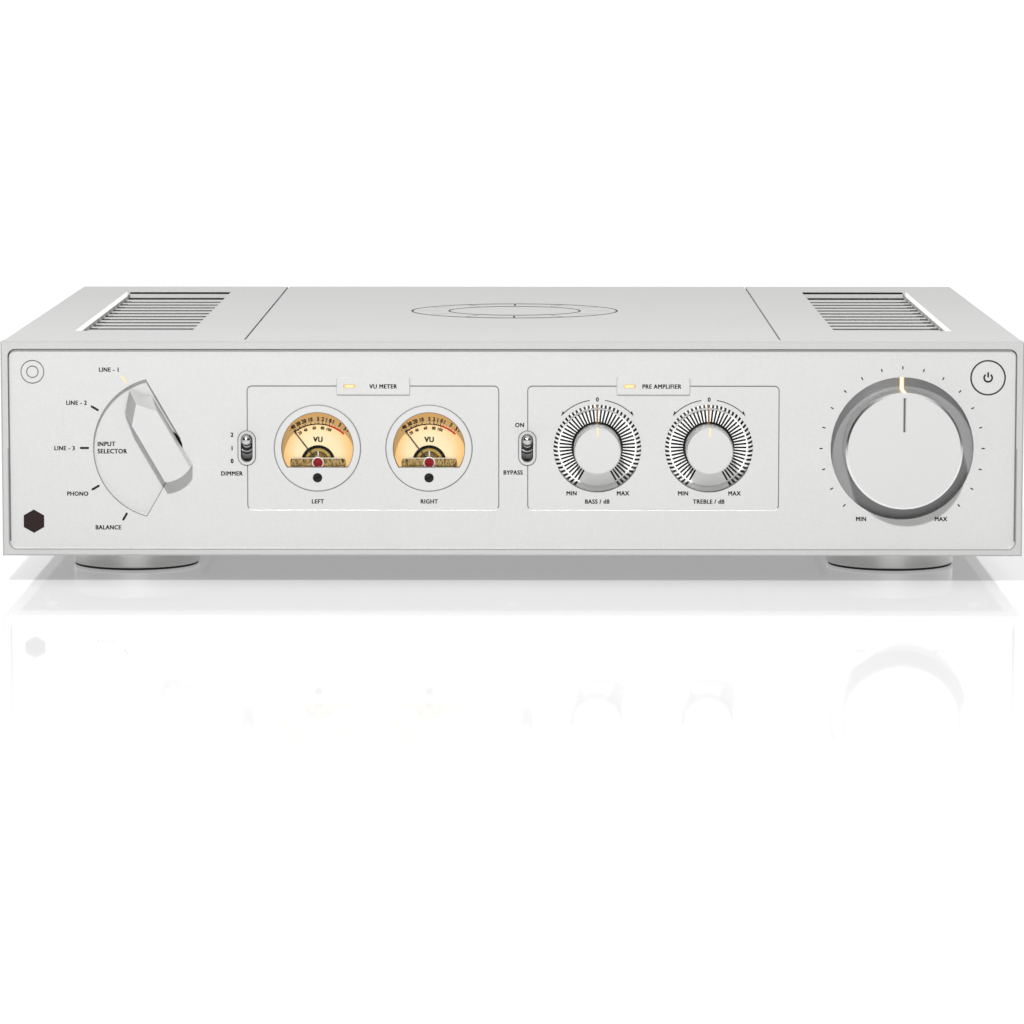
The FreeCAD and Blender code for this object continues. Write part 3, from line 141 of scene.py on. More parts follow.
class Shader:
    """A principled material with its node tree, and short names for the nodes it needs."""

    def __init__(self, name, **values):
        self.material = bpy.data.materials.new(name)
        self.material.use_nodes = True
        self.tree = self.material.node_tree
        self.bsdf = self.tree.nodes["Principled BSDF"]
        self.coordinates = self.tree.nodes.new("ShaderNodeTexCoord").outputs["Object"]
        for socket, value in values.items():
            self.set(socket.replace("_", " "), value)

    def set(self, socket, value):
        """Link a socket, or give it a colour or a plain value."""
        target = self.bsdf.inputs[socket]
        if isinstance(value, bpy.types.NodeSocket):
            self.tree.links.new(value, target)
        elif isinstance(value, (tuple, list)):
            target.default_value = (*value, 1.0)
        else:
            target.default_value = value

    def current(self, socket):
        """What feeds a socket now: a link or a plain value."""
        target = self.bsdf.inputs[socket]
        if target.links:
            return target.links[0].from_socket
        return target.default_value

    def wire(self, node, name, value):
        """Feed a node's input from a socket or a plain value."""
        if isinstance(value, bpy.types.NodeSocket):
            self.tree.links.new(value, node.inputs[name])
        else:
            node.inputs[name].default_value = value

    def math(self, operation, *values, clamp=False):
        """The result of a math node."""
        node = self.tree.nodes.new("ShaderNodeMath")
        node.operation = operation
        node.use_clamp = clamp
        for i, value in enumerate(values):
            self.wire(node, i, value)
        return node.outputs[0]

    def under(self, value, limit):
        """1 where a value is below a limit."""
        return self.math("LESS_THAN", value, limit)

    def over(self, value, limit):
        """1 where a value is above a limit."""
        return self.math("GREATER_THAN", value, limit)

    def both(self, *masks):
        """1 where every mask is 1."""
        product = masks[0]
        for mask in masks[1:]:
            product = self.math("MULTIPLY", product, mask)
        return product

    def without(self, mask):
        """1 where a mask is 0."""
        return self.math("SUBTRACT", 1.0, mask)

    def inside(self, value, low, high):
        """1 where a value lies between two limits."""
        return self.both(self.over(value, low), self.under(value, high))

    def axis(self, index):
        """The place along one axis, in metres."""
        node = self.tree.nodes.new("ShaderNodeSeparateXYZ")
        self.tree.links.new(self.coordinates, node.inputs[0])
        return node.outputs[index]

    def off(self, index, middle=0.0):
        """Distance along one axis from a place."""
        return self.math("ABSOLUTE", self.math("SUBTRACT", self.axis(index), middle))

    def length(self, first, second):
        """Length of a vector with two parts."""
        squares = [self.math("MULTIPLY", part, part) for part in (first, second)]
        return self.math("SQRT", self.math("ADD", *squares))

    def reach(self, centre):
        """Distance from a line along Y through a point."""
        return self.length(self.off(0, centre.x), self.off(2, centre.z))

    def near(self, centres):
        """Distance from the nearer of two lines along Y."""
        return self.math("MINIMUM", *[self.reach(centre) for centre in centres])

    def beside(self, places):
        """Sideways distance from the nearer of two places."""
        return self.math("MINIMUM", *[self.off(0, place.x) for place in places])

    def rounded(self, across, half_width, half_height, middle, corner):
        """Signed distance from an upright rounded outline facing the front, negative inside."""
        across = self.math("SUBTRACT", across, half_width - corner)
        upright = self.math("SUBTRACT", self.off(2, middle), half_height - corner)
        out = [self.math("MAXIMUM", value, 0.0) for value in (across, upright)]
        within = self.math("MINIMUM", self.math("MAXIMUM", across, upright), 0.0)
        return self.math("SUBTRACT", self.math("ADD", self.length(*out), within), corner)

    def noise(self, size, detail=3.0, roughness=0.5, stretch=(1, 1, 1)):
        """Noise from 0 to 1 whose features are about size metres across."""
        mapping = self.tree.nodes.new("ShaderNodeMapping")
        mapping.inputs["Scale"].default_value = [1 / (size * s) for s in stretch]
        self.tree.links.new(self.coordinates, mapping.inputs["Vector"])
        node = self.tree.nodes.new("ShaderNodeTexNoise")
        node.inputs["Scale"].default_value = 1.0
        node.inputs["Detail"].default_value = detail
        node.inputs["Roughness"].default_value = roughness
        self.tree.links.new(mapping.outputs["Vector"], node.inputs["Vector"])
        return node.outputs["Fac"]

    def spread(self, value, low, high):
        """Map 0..1 to low..high."""
        return self.math("MULTIPLY_ADD", value, high - low, low)

    def speckled(self, value, size, swing, detail=3.0):
        """A value made uneven by a little noise."""
        return self.math("ADD", value, self.spread(self.noise(size, detail), -swing, swing))

    def ramp(self, value, stops):
        """Colour ramp over (position, colour) stops."""
        node = self.tree.nodes.new("ShaderNodeValToRGB")
        elements = node.color_ramp.elements
        while len(elements) < len(stops):
            elements.new(0.5)
        for element, (position, colour) in zip(elements, stops):
            element.position = position
            element.color = (*colour, 1.0)
        self.wire(node, "Fac", value)
        return node.outputs["Color"]

    def mix(self, factor, first, second):
        """The first colour where the factor is 0, the second where it is 1."""
        node = self.tree.nodes.new("ShaderNodeMix")
        node.data_type = "RGBA"
        self.wire(node, 0, factor)
        for index, colour in ((6, first), (7, second)):
            if isinstance(colour, (tuple, list)):
                colour = (*colour, 1.0)
            self.wire(node, index, colour)
        return node.outputs[2]

    def shade(self, colour, factor):
        """A colour made lighter or darker by a factor socket."""
        node = self.tree.nodes.new("ShaderNodeVectorMath")
        node.operation = "SCALE"
        self.wire(node, 0, colour)
        self.wire(node, "Scale", factor)
        return node.outputs[0]

    def bump(self, height, distance, strength=1.0):
        """Fine relief from a height socket."""
        node = self.tree.nodes.new("ShaderNodeBump")
        node.inputs["Strength"].default_value = strength
        node.inputs["Distance"].default_value = distance
        self.tree.links.new(height, node.inputs["Height"])
        self.tree.links.new(node.outputs["Normal"], self.bsdf.inputs["Normal"])


# ---- materials ----

def blasted(name, tone, metallic=0.45, roughness=0.42, grain=0.15):
    """Bead-blasted, anodised aluminium: an even fine sparkle over a faint cloudiness."""
    shader = Shader(name, Metallic=metallic)
    fine = shader.noise(FINE_GRAIN, 4.0, 0.7)
    factor = shader.speckled(shader.spread(fine, 1 - grain, 1 + grain), 45 * MM, 0.02, 2.0)
    shader.set("Base Color", shader.shade(tone, factor))
    shader.set("Roughness", shader.spread(fine, roughness - 0.08, roughness + 0.08))
    shader.bump(shader.noise(0.20 * MM, 3.0, 0.6), 0.012 * MM, 0.5)
    return shader


def brighten(shader, mask, tone=BRIGHT_TONE, roughness=0.12):
    """Bright metal where the mask is 1, over the finish already set."""
    rest = shader.without(mask)
    shader.set("Base Color", shader.mix(mask, shader.current("Base Color"), tone))
    for socket, value in (("Metallic", 1.0), ("Roughness", roughness)):
        kept = shader.math("MULTIPLY", rest, shader.current(socket))
        shader.set(socket, shader.math("MULTIPLY_ADD", mask, value, kept))


def paint_flat(shader, mask, tone):
    """A colour without the metal's lustre where the mask is 1; most of its uses paint shade."""
    shader.set("Base Color", shader.mix(mask, shader.current("Base Color"), tone))
    shader.set("Metallic", shader.math("MULTIPLY", shader.without(mask), shader.current("Metallic")))


def sweep_edge(shader):
    """Signed distance from the outline of the selector's recess, far away beside its hub."""
    across = shader.math("SUBTRACT", shader.axis(0), SELECTOR.x)
    upright = shader.off(2, SELECTOR.z)
    slope = shader.math("MULTIPLY_ADD", upright, 0.5, shader.math("MULTIPLY", across, math.sqrt(0.75)))
    edge = shader.math("MAXIMUM", shader.math("SUBTRACT", shader.reach(SELECTOR), SWEEP_R),
                       shader.math("SUBTRACT", slope, HUB_R))
    hub = shader.both(shader.under(upright, HUB_R / 2), shader.over(across, 0.0))
    return shader.math("ADD", edge, hub)


def shade_rim(shader):
    """Darken the front panel's rim, and paint shade into the corner between rim and field and along the inner
    edge of the lower rim.
    """
    height = shader.axis(2)
    rim = shader.under(shader.axis(1), RIM_BACK)
    shader.set("Base Color", shader.shade(shader.current("Base Color"), shader.spread(rim, 1.0, 0.86)))
    edge = shader.rounded(shader.off(0), *POCKET)
    # Painted shade in the field along the corner under the rim, on every side but the bottom.
    corner = shader.inside(edge, -0.5 * MM, SKIN / 2)
    paint_flat(shader, shader.both(corner, shader.over(height, FRONT_LOW.z + 2 * RIM_W)), grey(0.14))
    # Painted shade along the inner edge of the lower rim.
    lip = shader.inside(edge, 0.0, 0.45 * MM)
    paint_flat(shader, shader.both(lip, shader.under(height, MID_Z), rim), grey(0.22))


def shade_cuts(shader):
    """Painted shade in the cuts in the field, a painted highlight on them at the frames' feet, bright walls
    in the tone controls' mouths, and painted shade along the mouths' lower brink.
    """
    depth = shader.axis(1)
    height = shader.axis(2)
    near_tone = shader.near(TONES)
    mouth = shader.under(near_tone, MOUTH_R)
    # Painted shade in the cuts in the field, outside the tone controls' mouths.
    cut = shader.both(shader.inside(depth, FIELD_Y + SKIN, FIELD_Y + CUT_DEPTH), shader.without(mouth))
    paint_flat(shader, cut, grey(0.17))
    # Painted highlight on the cuts at the frames' feet, where their lower walls face the light.
    foot = shader.both(shader.under(height, MID_Z - FRAME_DROP), shader.under(shader.off(0), FRAME_OUT))
    brighten(shader, shader.both(cut, foot), (0.80, 0.80, 0.79), 0.4)
    brighten(shader, shader.both(mouth, shader.over(depth, FIELD_Y + SKIN)), (0.86, 0.86, 0.85), 0.07)
    # Painted shade along the lower brink of each mouth.
    brink = shader.inside(near_tone, MOUTH_R - 0.35 * MM, MOUTH_R + 0.15 * MM)
    paint_flat(shader, shader.both(brink, shader.under(height, MID_Z - 9 * MM)), grey(0.12))


def outline_controls(shader):
    """Painted shade: dark lines round the selector's recess and the power button, and a dark hole at the
    selector's hub.
    """
    depth = shader.axis(1)
    # Painted shade along the recess's edge, in the gap round the button and down the hub's hole.
    outline = shader.inside(sweep_edge(shader), 0.0, 0.33 * MM)
    paint_flat(shader, shader.both(outline, shader.under(depth, FIELD_Y + SKIN)), grey(0.15))
    paint_flat(shader, shader.under(shader.reach(BUTTON), BUTTON_RING), grey(0.04))
    near_hub = shader.under(shader.reach(SELECTOR), HUB_R + SKIN)
    paint_flat(shader, shader.both(near_hub, shader.over(depth, SELECTOR_FLOOR + SKIN)), grey(0.01))


def front_metal():
    """The front panel's finish, with its shading and outlines."""
    shader = blasted("front_panel_metal", FRONT_TONE)
    shade_rim(shader)
    shade_cuts(shader)
    outline_controls(shader)
    return shader


def button_metal():
    """The power button's finish with a shaded edge."""
    shader = blasted("button_metal", FRONT_TONE)
    # Painted shade round the button's edge.
    paint_flat(shader, shader.over(shader.reach(BUTTON), BUTTON_R), grey(0.06))
    return shader


def case_metal(name):
    """The finish of the sides and the top."""
    return blasted(name, CASE_TONE, roughness=CASE_ROUGHNESS)


def grille_metal():
    """The vent bars' finish, with painted light down their sides: paler there, to lighten the gaps between
    the bars.
    """
    shader = case_metal("grille_metal")
    # Painted light: paler sides lighten the gaps between the bars.
    paint_flat(shader, shader.under(shader.axis(2), GRILLE_TOP - 0.4 * MM), (0.62, 0.62, 0.615))
    return shader


def cover_metal():
    """The outer covers' finish, with a bright-cut bevel beside each vent and painted shade in the relief
    groove at the back of each vent.
    """
    shader = case_metal("outer_cover_metal")
    out = shader.off(0)
    along = shader.axis(1)
    below = shader.both(shader.under(shader.axis(2), TOP_Z - SKIN),
                        shader.inside(along, VENT_FRONT - 1.5 * MM, VENT_BACK + 1.6 * MM))
    bevel = shader.inside(out, VENT_OUT + SKIN / 2, VENT_OUT + BEVEL)
    brighten(shader, shader.both(bevel, below), roughness=0.15)
    # Painted shade in the relief groove at the back of each vent.
    groove = shader.both(shader.over(along, VENT_BACK + SKIN / 2), shader.under(out, VENT_OUT))
    paint_flat(shader, shader.both(groove, below), grey(0.05))
    return shader


def engraved_metal():
    """The middle cover's finish, with painted shade in its grooves and two dark bands that are wider at front
    and back.
    """
    shader = case_metal("middle_cover_metal")
    across = shader.axis(0)
    along = shader.math("SUBTRACT", shader.axis(1), ENGRAVED_Y)
    reach = shader.length(across, along)
    # Painted shade inside the engraved grooves.
    groove = shader.both(shader.under(shader.axis(2), TOP_Z - SKIN / 2),
                         shader.under(reach, ENGRAVED_R[1] + 1 * MM))
    paint_flat(shader, groove, grey(0.08))
    for radius in ENGRAVED_R:
        wide = shader.math("DIVIDE", across, radius - 0.45 * MM)
        deep = shader.math("DIVIDE", along, radius - 4.4 * MM)
        band = shader.both(shader.over(shader.length(wide, deep), 1.0),
                           shader.under(reach, radius + 0.44 * MM))
        paint_flat(shader, band, grey(0.13))
    return shader


def volume_metal():
    """The volume knob's finish: bright-cut chamfer and painted shade in the pointer slot."""
    shader = blasted("volume_knob_metal", KNOB_TONE, 0.8, 0.33, 0.09)
    depth = shader.axis(1)
    outer = shader.over(shader.reach(VOLUME), FACE_R)
    brighten(shader, shader.both(shader.inside(depth, KNOB_FACE + SKIN, KNOB_FACE + CHAMFER), outer),
             roughness=0.22)
    # Painted shade in the pointer slot.
    slot = shader.both(shader.under(shader.off(0, VOLUME.x), SLOT_HALF),
                       shader.over(shader.axis(2), MID_Z + SLOT_RISE),
                       shader.inside(depth, KNOB_FACE + SKIN, KNOB_FACE + 0.85 * MM))
    paint_flat(shader, shader.both(slot, shader.without(outer)), grey(0.09))
    return shader


def bezel_metal():
    """Meter bezel with a shaded outer edge and painted shade round the inside of its window."""
    shader = blasted("meter_front_metal", (0.55, 0.55, 0.545), 0.4, 0.4, 0.05)
    near_dial = shader.near([Vector((needle.x, 0, MID_Z)) for needle in NEEDLES])
    # Painted shade on the bezel's outer edge, then round the inside of its window.
    paint_flat(shader, shader.over(near_dial, BEZEL_R), grey(0.20))
    window = shader.both(shader.under(near_dial, WINDOW_R), shader.over(shader.axis(2), MID_Z - WINDOW_DROP))
    paint_flat(shader, window, (0.10, 0.08, 0.06))
    return shader


def toggle_ring():
    """Satin surround of a toggle's slot with a shaded outer edge."""
    shader = blasted("toggle_ring_metal", (0.56, 0.56, 0.555), 0.5, 0.35, 0.05)
    edge = shader.rounded(shader.beside(TOGGLES), *TOGGLE_RING)
    # Painted shade on the outer edge.
    paint_flat(shader, shader.over(edge, -0.38 * MM), grey(0.17))
    return shader


def polished(name, tone=(0.85, 0.85, 0.85), roughness=0.07):
    """Bright plated metal with faint smears."""
    shader = Shader(name, Metallic=1.0)
    smear = shader.noise(1.5 * MM, 3.0)
    shader.set("Base Color", shader.shade(tone, shader.spread(smear, 0.96, 1.02)))
    shader.set("Roughness", shader.spread(smear, roughness * 0.6, roughness * 1.6))
    shader.bump(smear, 0.003 * MM, 0.3)
    return shader


def lever_metal():
    """Chromed ball with a painted dark reflection round its rim, on a neck painted dark as shade."""
    shader = polished("lever_chrome", grey(0.62), 0.16)
    balls = [toggle + LEVER_REACH for toggle in TOGGLES]
    near_ball = shader.math("MINIMUM", *[shader.length(shader.reach(ball), shader.off(1, ball.y))
                                         for ball in balls])
    # Painted shade on the neck, and a painted dark reflection round the ball's rim.
    for mask, tone in ((shader.over(near_ball, BALL_R), 0.03),
                       (shader.over(shader.near(balls), BALL_FACE_R), 0.05)):
        shader.set("Base Color", shader.mix(mask, shader.current("Base Color"), grey(tone)))
    return shader


def shield_metal():
    """Grey plate that turns behind a toggle's slot, painted black as the shadow under the lever's ball, with
    a pale ring under the lever.
    """
    shader = polished("lever_shield", grey(0.30), 0.45)
    side = shader.beside(TOGGLES)
    bow = shader.math("MULTIPLY", side, side)
    low = shader.math("SUBTRACT", shader.axis(2), MID_Z)
    rise = shader.math("MULTIPLY_ADD", bow, -0.20 / MM, low)
    # Painted shadow under the lever's ball, with a pale ring inside it.
    paint_flat(shader, shader.over(rise, -2.7 * MM), grey(0.008))
    paint_flat(shader, shader.inside(rise, -1.75 * MM, -1.25 * MM), grey(0.60))
    return shader


def turned(name, tone, metallic=0.9, roughness=0.3):
    """Lathe-turned metal with fine rings round an upright axis."""
    shader = Shader(name, Metallic=metallic)
    rings = shader.noise(1.2 * MM, 4.0, 0.7, (40, 40, 0.12))
    shader.set("Base Color", shader.shade(tone, shader.spread(rings, 0.9, 1.08)))
    shader.set("Roughness", shader.spread(rings, roughness - 0.08, roughness + 0.1))
    shader.bump(rings, 0.01 * MM, 0.6)
    return shader


def bridge_bronze():
    """Bronze bar with deep streaks and a painted highlight along its top, seen through the meter's window."""
    shader = Shader("bridge_bronze", Metallic=1.0)
    streak = shader.noise(0.9 * MM, 3.0, 0.6, (1, 1, 3))
    glow = shader.ramp(streak, ((0.32, (0.05, 0.02, 0.01)), (0.46, (0.45, 0.27, 0.08)),
                                (0.56, (0.80, 0.60, 0.26)), (0.66, (0.16, 0.08, 0.03))))
    shader.set("Base Color", glow)
    shader.set("Roughness", shader.spread(streak, 0.16, 0.34))
    shader.bump(streak, 0.05 * MM, 0.6)
    # Painted highlight along the bar's top edge.
    brighten(shader, shader.over(shader.axis(2), BRIDGE_TOP - 0.42 * MM), (0.98, 0.90, 0.72), 0.3)
    return shader


def movement_metal():
    """Meter movement: black outer yoke, brass inner arc and dark copper windings."""
    shader = Shader("meter_movement_metal", Metallic=0.9, Roughness=0.32)
    fine = shader.noise(0.35 * MM, 3.0)
    reach = shader.math("MULTIPLY", shader.near(NEEDLES), 1 / (8 * MM))
    reach = shader.math("ADD", reach, shader.spread(fine, -0.02, 0.02))
    parts = shader.ramp(reach, ((0.0, (0.35, 0.16, 0.05)), (0.28, (0.62, 0.42, 0.10)),
                                (0.44, (0.10, 0.03, 0.02)), (0.58, (0.68, 0.48, 0.12)),
                                (0.70, (0.60, 0.42, 0.10)), (0.73, (0.01, 0.01, 0.01))))
    shader.set("Base Color", parts)
    shader.bump(fine, 0.02 * MM, 0.5)
    return shader


def moulded(name, tone, roughness=0.5, grain=0.35 * MM, depth=0.01 * MM):
    """Moulded plastic or rubber with a fine texture."""
    shader = Shader(name)
    speck = shader.noise(grain, 3.0, 0.6)
    shader.set("Base Color", shader.shade(tone, shader.spread(speck, 0.85, 1.15)))
    shader.set("Roughness", shader.spread(speck, roughness - 0.08, roughness + 0.08))
    shader.bump(speck, depth, 0.6)
    return shader


def lit(name, colour, strength):
    """Diffusing light window that is on."""
    shader = Shader(name, Roughness=0.35, Base_Color=(0.12, 0.09, 0.05))
    speck = shader.noise(0.6 * MM, 2.0)
    shader.set("Emission Color", shader.shade(colour, shader.spread(speck, 0.92, 1.06)))
    shader.set("Emission Strength", strength)
    return shader


def tag_lamp():
    """Lamp window, warm yellow in the middle and amber at its edges."""
    shader = lit("tag_lamp_light", (1.0, 0.8, 0.4), 0.95)
    across = shader.math("DIVIDE", shader.beside(LAMPS), LAMP_HALF[0])
    upright = shader.math("DIVIDE", shader.off(2, LAMP_Z), LAMP_HALF[1])
    edge = shader.speckled(shader.math("MAXIMUM", across, upright), 0.6 * MM, 0.05, 2.0)
    shader.set("Emission Color", shader.ramp(edge, ((0.45, (1.0, 0.86, 0.45)), (0.80, (0.95, 0.62, 0.20)),
                                                    (0.97, (0.45, 0.22, 0.06)))))
    return shader


def volume_bar():
    """Light bar on the volume knob: a white-hot core between amber edges."""
    shader = lit("volume_bar_light", (1.0, 0.86, 0.60), 1.0)
    across = shader.math("DIVIDE", shader.off(0, VOLUME.x), 1.1 * MM)
    edge = shader.speckled(across, 0.6 * MM, 0.04, 2.0)
    shader.set("Emission Color", shader.ramp(edge, ((0.40, (1.6, 1.5, 1.2)), (0.62, (1.0, 0.66, 0.25)),
                                                    (0.95, (0.42, 0.26, 0.10)))))
    return shader


def dial_paper():
    """Back-lit scale plate: pale yellow in the middle, orange towards the rim, where a stronger glow is
    painted light that fills the bezel's shadow.
    """
    shader = Shader("meter_dial_paper", Roughness=0.6)
    near_dial = shader.near([Vector((needle.x, 0, MID_Z - 3.0 * MM)) for needle in NEEDLES])
    reach = shader.speckled(shader.math("MULTIPLY", near_dial, 1 / (20 * MM)), 0.5 * MM, 0.012)
    glow = shader.ramp(reach, ((0.0, (0.80, 0.68, 0.42)), (0.45, (0.80, 0.65, 0.39)),
                               (0.68, (0.88, 0.55, 0.22)), (0.9, (0.88, 0.47, 0.14))))
    # Painted light: the glow grows towards the rim to fill the bezel's shadow, and the base colour darkens
    # there so that the lit side stays even.
    rim = shader.math("MULTIPLY_ADD", reach, 1 / 0.3, -0.55 / 0.3, clamp=True)
    shader.set("Base Color", shader.shade(glow, shader.spread(rim, 1.0, 0.65)))
    shader.set("Emission Color", glow)
    shader.set("Emission Strength", shader.spread(rim, 0.34, 0.64))
    return shader


def dial_ring():
    """Tone scale ring: satin top, black slot floors, and the slot at the top lit from behind."""
    shader = Shader("tone_ring_metal", Metallic=0.35)
    fine = shader.noise(FINE_GRAIN, 4.0, 0.7)
    light = shader.shade((0.80, 0.80, 0.79), shader.spread(fine, 0.95, 1.05))
    deep = shader.over(shader.axis(1), RING_Y + 0.1 * MM)
    shader.set("Base Color", shader.mix(deep, light, grey(0.008)))
    shader.set("Roughness", shader.spread(fine, 0.36, 0.5))
    top = shader.both(shader.under(shader.beside(TONES), 0.45 * MM), shader.over(shader.axis(2), MID_Z))
    shader.set("Emission Color", (1.0, 0.45, 0.12))
    shader.set("Emission Strength", shader.math("MULTIPLY", shader.both(top, deep), 0.25))
    shader.bump(fine, 0.006 * MM, 0.4)
    return shader


def board_green():
    """Solder mask over faint tracks."""
    shader = Shader("board_mask", Roughness=0.35)
    tracks = shader.noise(3.0 * MM, 2.0, 0.5, (1, 1, 0.35))
    mask_tone = (0.015, 0.11, 0.05)
    shader.set("Base Color", shader.ramp(tracks, ((0.46, mask_tone), (0.5, (0.03, 0.20, 0.09)),
                                                  (0.54, mask_tone))))
    shader.bump(tracks, 0.03 * MM, 0.4)
    return shader


def clear_lens():
    """Clear window: nearly all see-through, with a faint gloss."""
    shader = Shader("meter_lens_glass", Roughness=0.03, Alpha=0.10, Base_Color=(0.02, 0.015, 0.01))
    shader.bump(shader.noise(4 * MM, 1.0), 0.002 * MM, 0.2)
    shader.material.surface_render_method = "BLENDED"
    return shader


MATERIALS = {
    "front": front_metal(),
    "case": case_metal("case_metal"),
    "tag": blasted("tag_metal", FRONT_TONE),
    "knob": blasted("knob_metal", KNOB_TONE, 0.8, 0.33, 0.09),
    "volume": volume_metal(),
    "button": button_metal(),
    "grille": grille_metal(),
    # The volume knob's ring is the panel's aluminium made much darker: painted shade for the deep well round
    # the knob.
    "well": blasted("painted_shade_well_metal", grey(0.29), 0.6, 0.40, 0.2),
    "meter_front": bezel_metal(),
    "cover": cover_metal(),
    "engraved": engraved_metal(),
    "foot": turned("foot_metal", (0.80, 0.80, 0.79)),
    "chrome": polished("toggle_chrome"),
    "ring": dial_ring(),
    "dial": dial_paper(),
    "lens": clear_lens(),
    "movement": movement_metal(),
    "bronze": bridge_bronze(),
    "lever": lever_metal(),
    "shield": shield_metal(),
    "surround": toggle_ring(),
    "jewel": moulded("jewel_red", (0.28, 0.004, 0.007), 0.12, 0.8 * MM, 0.002 * MM),
    "collar": moulded("collar_white", (0.85, 0.83, 0.78), 0.3),
    "black": moulded("black_plastic", grey(0.010), 0.45),
    "inner_black": moulded("meter_case_black", (0.03, 0.02, 0.015), 0.6),
    "switch_grey": moulded("switch_grey", grey(0.22), 0.4),
    "needle": moulded("needle_black", (0.012, 0.010, 0.010), 0.5, 0.2 * MM),
    "ir": moulded("ir_filter", (0.018, 0.009, 0.009), 0.14, 1.5 * MM, 0.001 * MM),
    "lamp": tag_lamp(),
    "bar": volume_bar(),
    "mark": lit("mark_light", (1.0, 0.82, 0.42), 0.9),
    "ink": moulded("legend_ink", grey(0.012), 0.6, 0.3 * MM),
    "dial_ink": moulded("dial_ink", (0.010, 0.007, 0.005), 0.6, 0.2 * MM),
    "dial_red": moulded("dial_red", (0.55, 0.01, 0.01), 0.5, 0.2 * MM),
    "rubber": moulded("foot_rubber", grey(0.02), 0.75, 0.5 * MM, 0.03 * MM),
    "powder": moulded("powder_coat", (0.055, 0.056, 0.058), 0.5, 0.7 * MM, 0.04 * MM),
    "zinc": turned("zinc_steel", (0.55, 0.55, 0.56), 1.0, 0.35),
    "board": board_green(),
    "winding": moulded("winding_wrap", (0.05, 0.04, 0.03), 0.45, 2.5 * MM, 0.2 * MM),
    "sleeve": moulded("can_sleeve", (0.012, 0.015, 0.03), 0.25, 3 * MM, 0.01 * MM),
    "gold": polished("gold_plate", (0.83, 0.60, 0.25), 0.16),
    "cap_red": moulded("cap_red", (0.42, 0.02, 0.02), 0.25, 0.8 * MM, 0.004 * MM),
    "cap_black": moulded("cap_black", grey(0.02), 0.25, 0.8 * MM, 0.004 * MM),
}

for dull in ("ink", "dial_ink", "dial_red", "black", "ir", "jewel"):
    MATERIALS[dull].set("Specular IOR Level", 0.18)

FINISHES = {
    "front": ("front_panel",),
    "case": ("side_panel_left", "side_panel_right"),
    "grille": ("vent_grille_left", "vent_grille_right"),
    "button": ("power_button",),
    "cover": ("top_cover_left", "top_cover_right"),
    "engraved": ("top_cover_center",),
    "knob": ("bass_knob", "treble_knob", "selector_knob"),
    "volume": ("volume_knob",),
    "well": ("volume_ring",),
    "meter_front": ("meter_bezels",),
    "foot": ("feet",),
    "surround": ("toggle_bezels",),
    "tag": ("tag_plates",),
    "lever": ("dimmer_lever", "bypass_lever"),
    "ring": ("tone_dial_rings",),
    "dial": ("meter_dials",),
    "lens": ("meter_lenses",),
    "movement": ("meter_movements",),
    "bronze": ("meter_bridges",),
    "jewel": ("meter_jewels",),
    "black": ("zero_screws", "selector_switch", "potentiometers", "output_transistors",
              "power_inlet", "rocker_frame", "mains_rocker"),
    "inner_black": ("meter_cases",),
    "switch_grey": ("panel_switches",),
    "needle": ("needle_left", "needle_right"),
    "ir": ("ir_window",),
    "lamp": ("tag_lamps",),
    "bar": ("volume_light",),
    "rubber": ("foot_pads",),
    "powder": ("bottom_plate", "rear_panel", "heat_sinks"),
    "zinc": ("chassis_screws", "volume_shaft", "bass_shaft", "treble_shaft", "selector_shaft",
             "board_supports"),
    "board": ("control_board", "circuit_boards"),
    "winding": ("transformer",),
    "sleeve": ("filter_capacitors",),
    "gold": ("line_sockets", "terminal_posts"),
    "cap_red": ("terminal_cap_1", "terminal_cap_3"),
    "cap_black": ("terminal_cap_2", "terminal_cap_4"),
}


def dress_nodes():
    """Give every CAD node its finish."""
    for finish, names in FINISHES.items():
        for name in names:
            slots = nodes[name].data.materials
            slots.clear()
            slots.append(MATERIALS[finish].material)


# ---- mesh helpers ----

def solid(mesh, name, material):
    """Turn a bmesh into an object in the scene."""
    data = bpy.data.meshes.new(name)
    bmesh.ops.recalc_face_normals(mesh, faces=mesh.faces)
    mesh.to_mesh(data)
    mesh.free()
    piece = bpy.data.objects.new(name, data)
    bpy.context.scene.collection.objects.link(piece)
    data.materials.append(material)
    return piece


def place(mesh, name, finish, body, slot):
    """Turn a bmesh into a piece that rides on a body."""
    piece = solid(mesh, name, MATERIALS[finish].material)
    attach(piece, body)


def around(centre, radius, degrees):
    """(x, z) at a radius and a clockwise angle from straight up."""
    angle = math.radians(degrees)
    return centre.x + radius * math.sin(angle), centre.z + radius * math.cos(angle)


def span(mesh, row, after):
    """Faces between two closed rows of corners."""
    for i in range(len(row)):
        j = (i + 1) % len(row)
        mesh.faces.new((row[i], row[j], after[j], after[i]))


def strip(mesh, rows):
    """Closed solid along rows of corners, with a face at each end."""
    for row, after in zip(rows, rows[1:]):
        span(mesh, row, after)
    mesh.faces.new(rows[0])
    mesh.faces.new(list(reversed(rows[-1])))


def slab(mesh, outline, y0, y1):
    """Closed solid from an outline of (x, z) points, between two depths."""
    strip(mesh, [[mesh.verts.new((x, y, z)) for x, z in outline] for y in (y0, y1)])


def swept(mesh, centre, turns, section):
    """Closed strip round the Y axis; section(i) gives the (radius, y) corners at turn i."""
    rows = []
    for i, degrees in enumerate(turns):
        row = []
        for radius, y in section(i):
            x, z = around(centre, radius, degrees)
            row.append(mesh.verts.new((x, y, z)))
        rows.append(row)
    strip(mesh, rows)


def oblong(r0, r1, y0, y1):
    """Corners of a section between two radii and two depths."""
    return (r0, y0), (r1, y0), (r1, y1), (r0, y1)


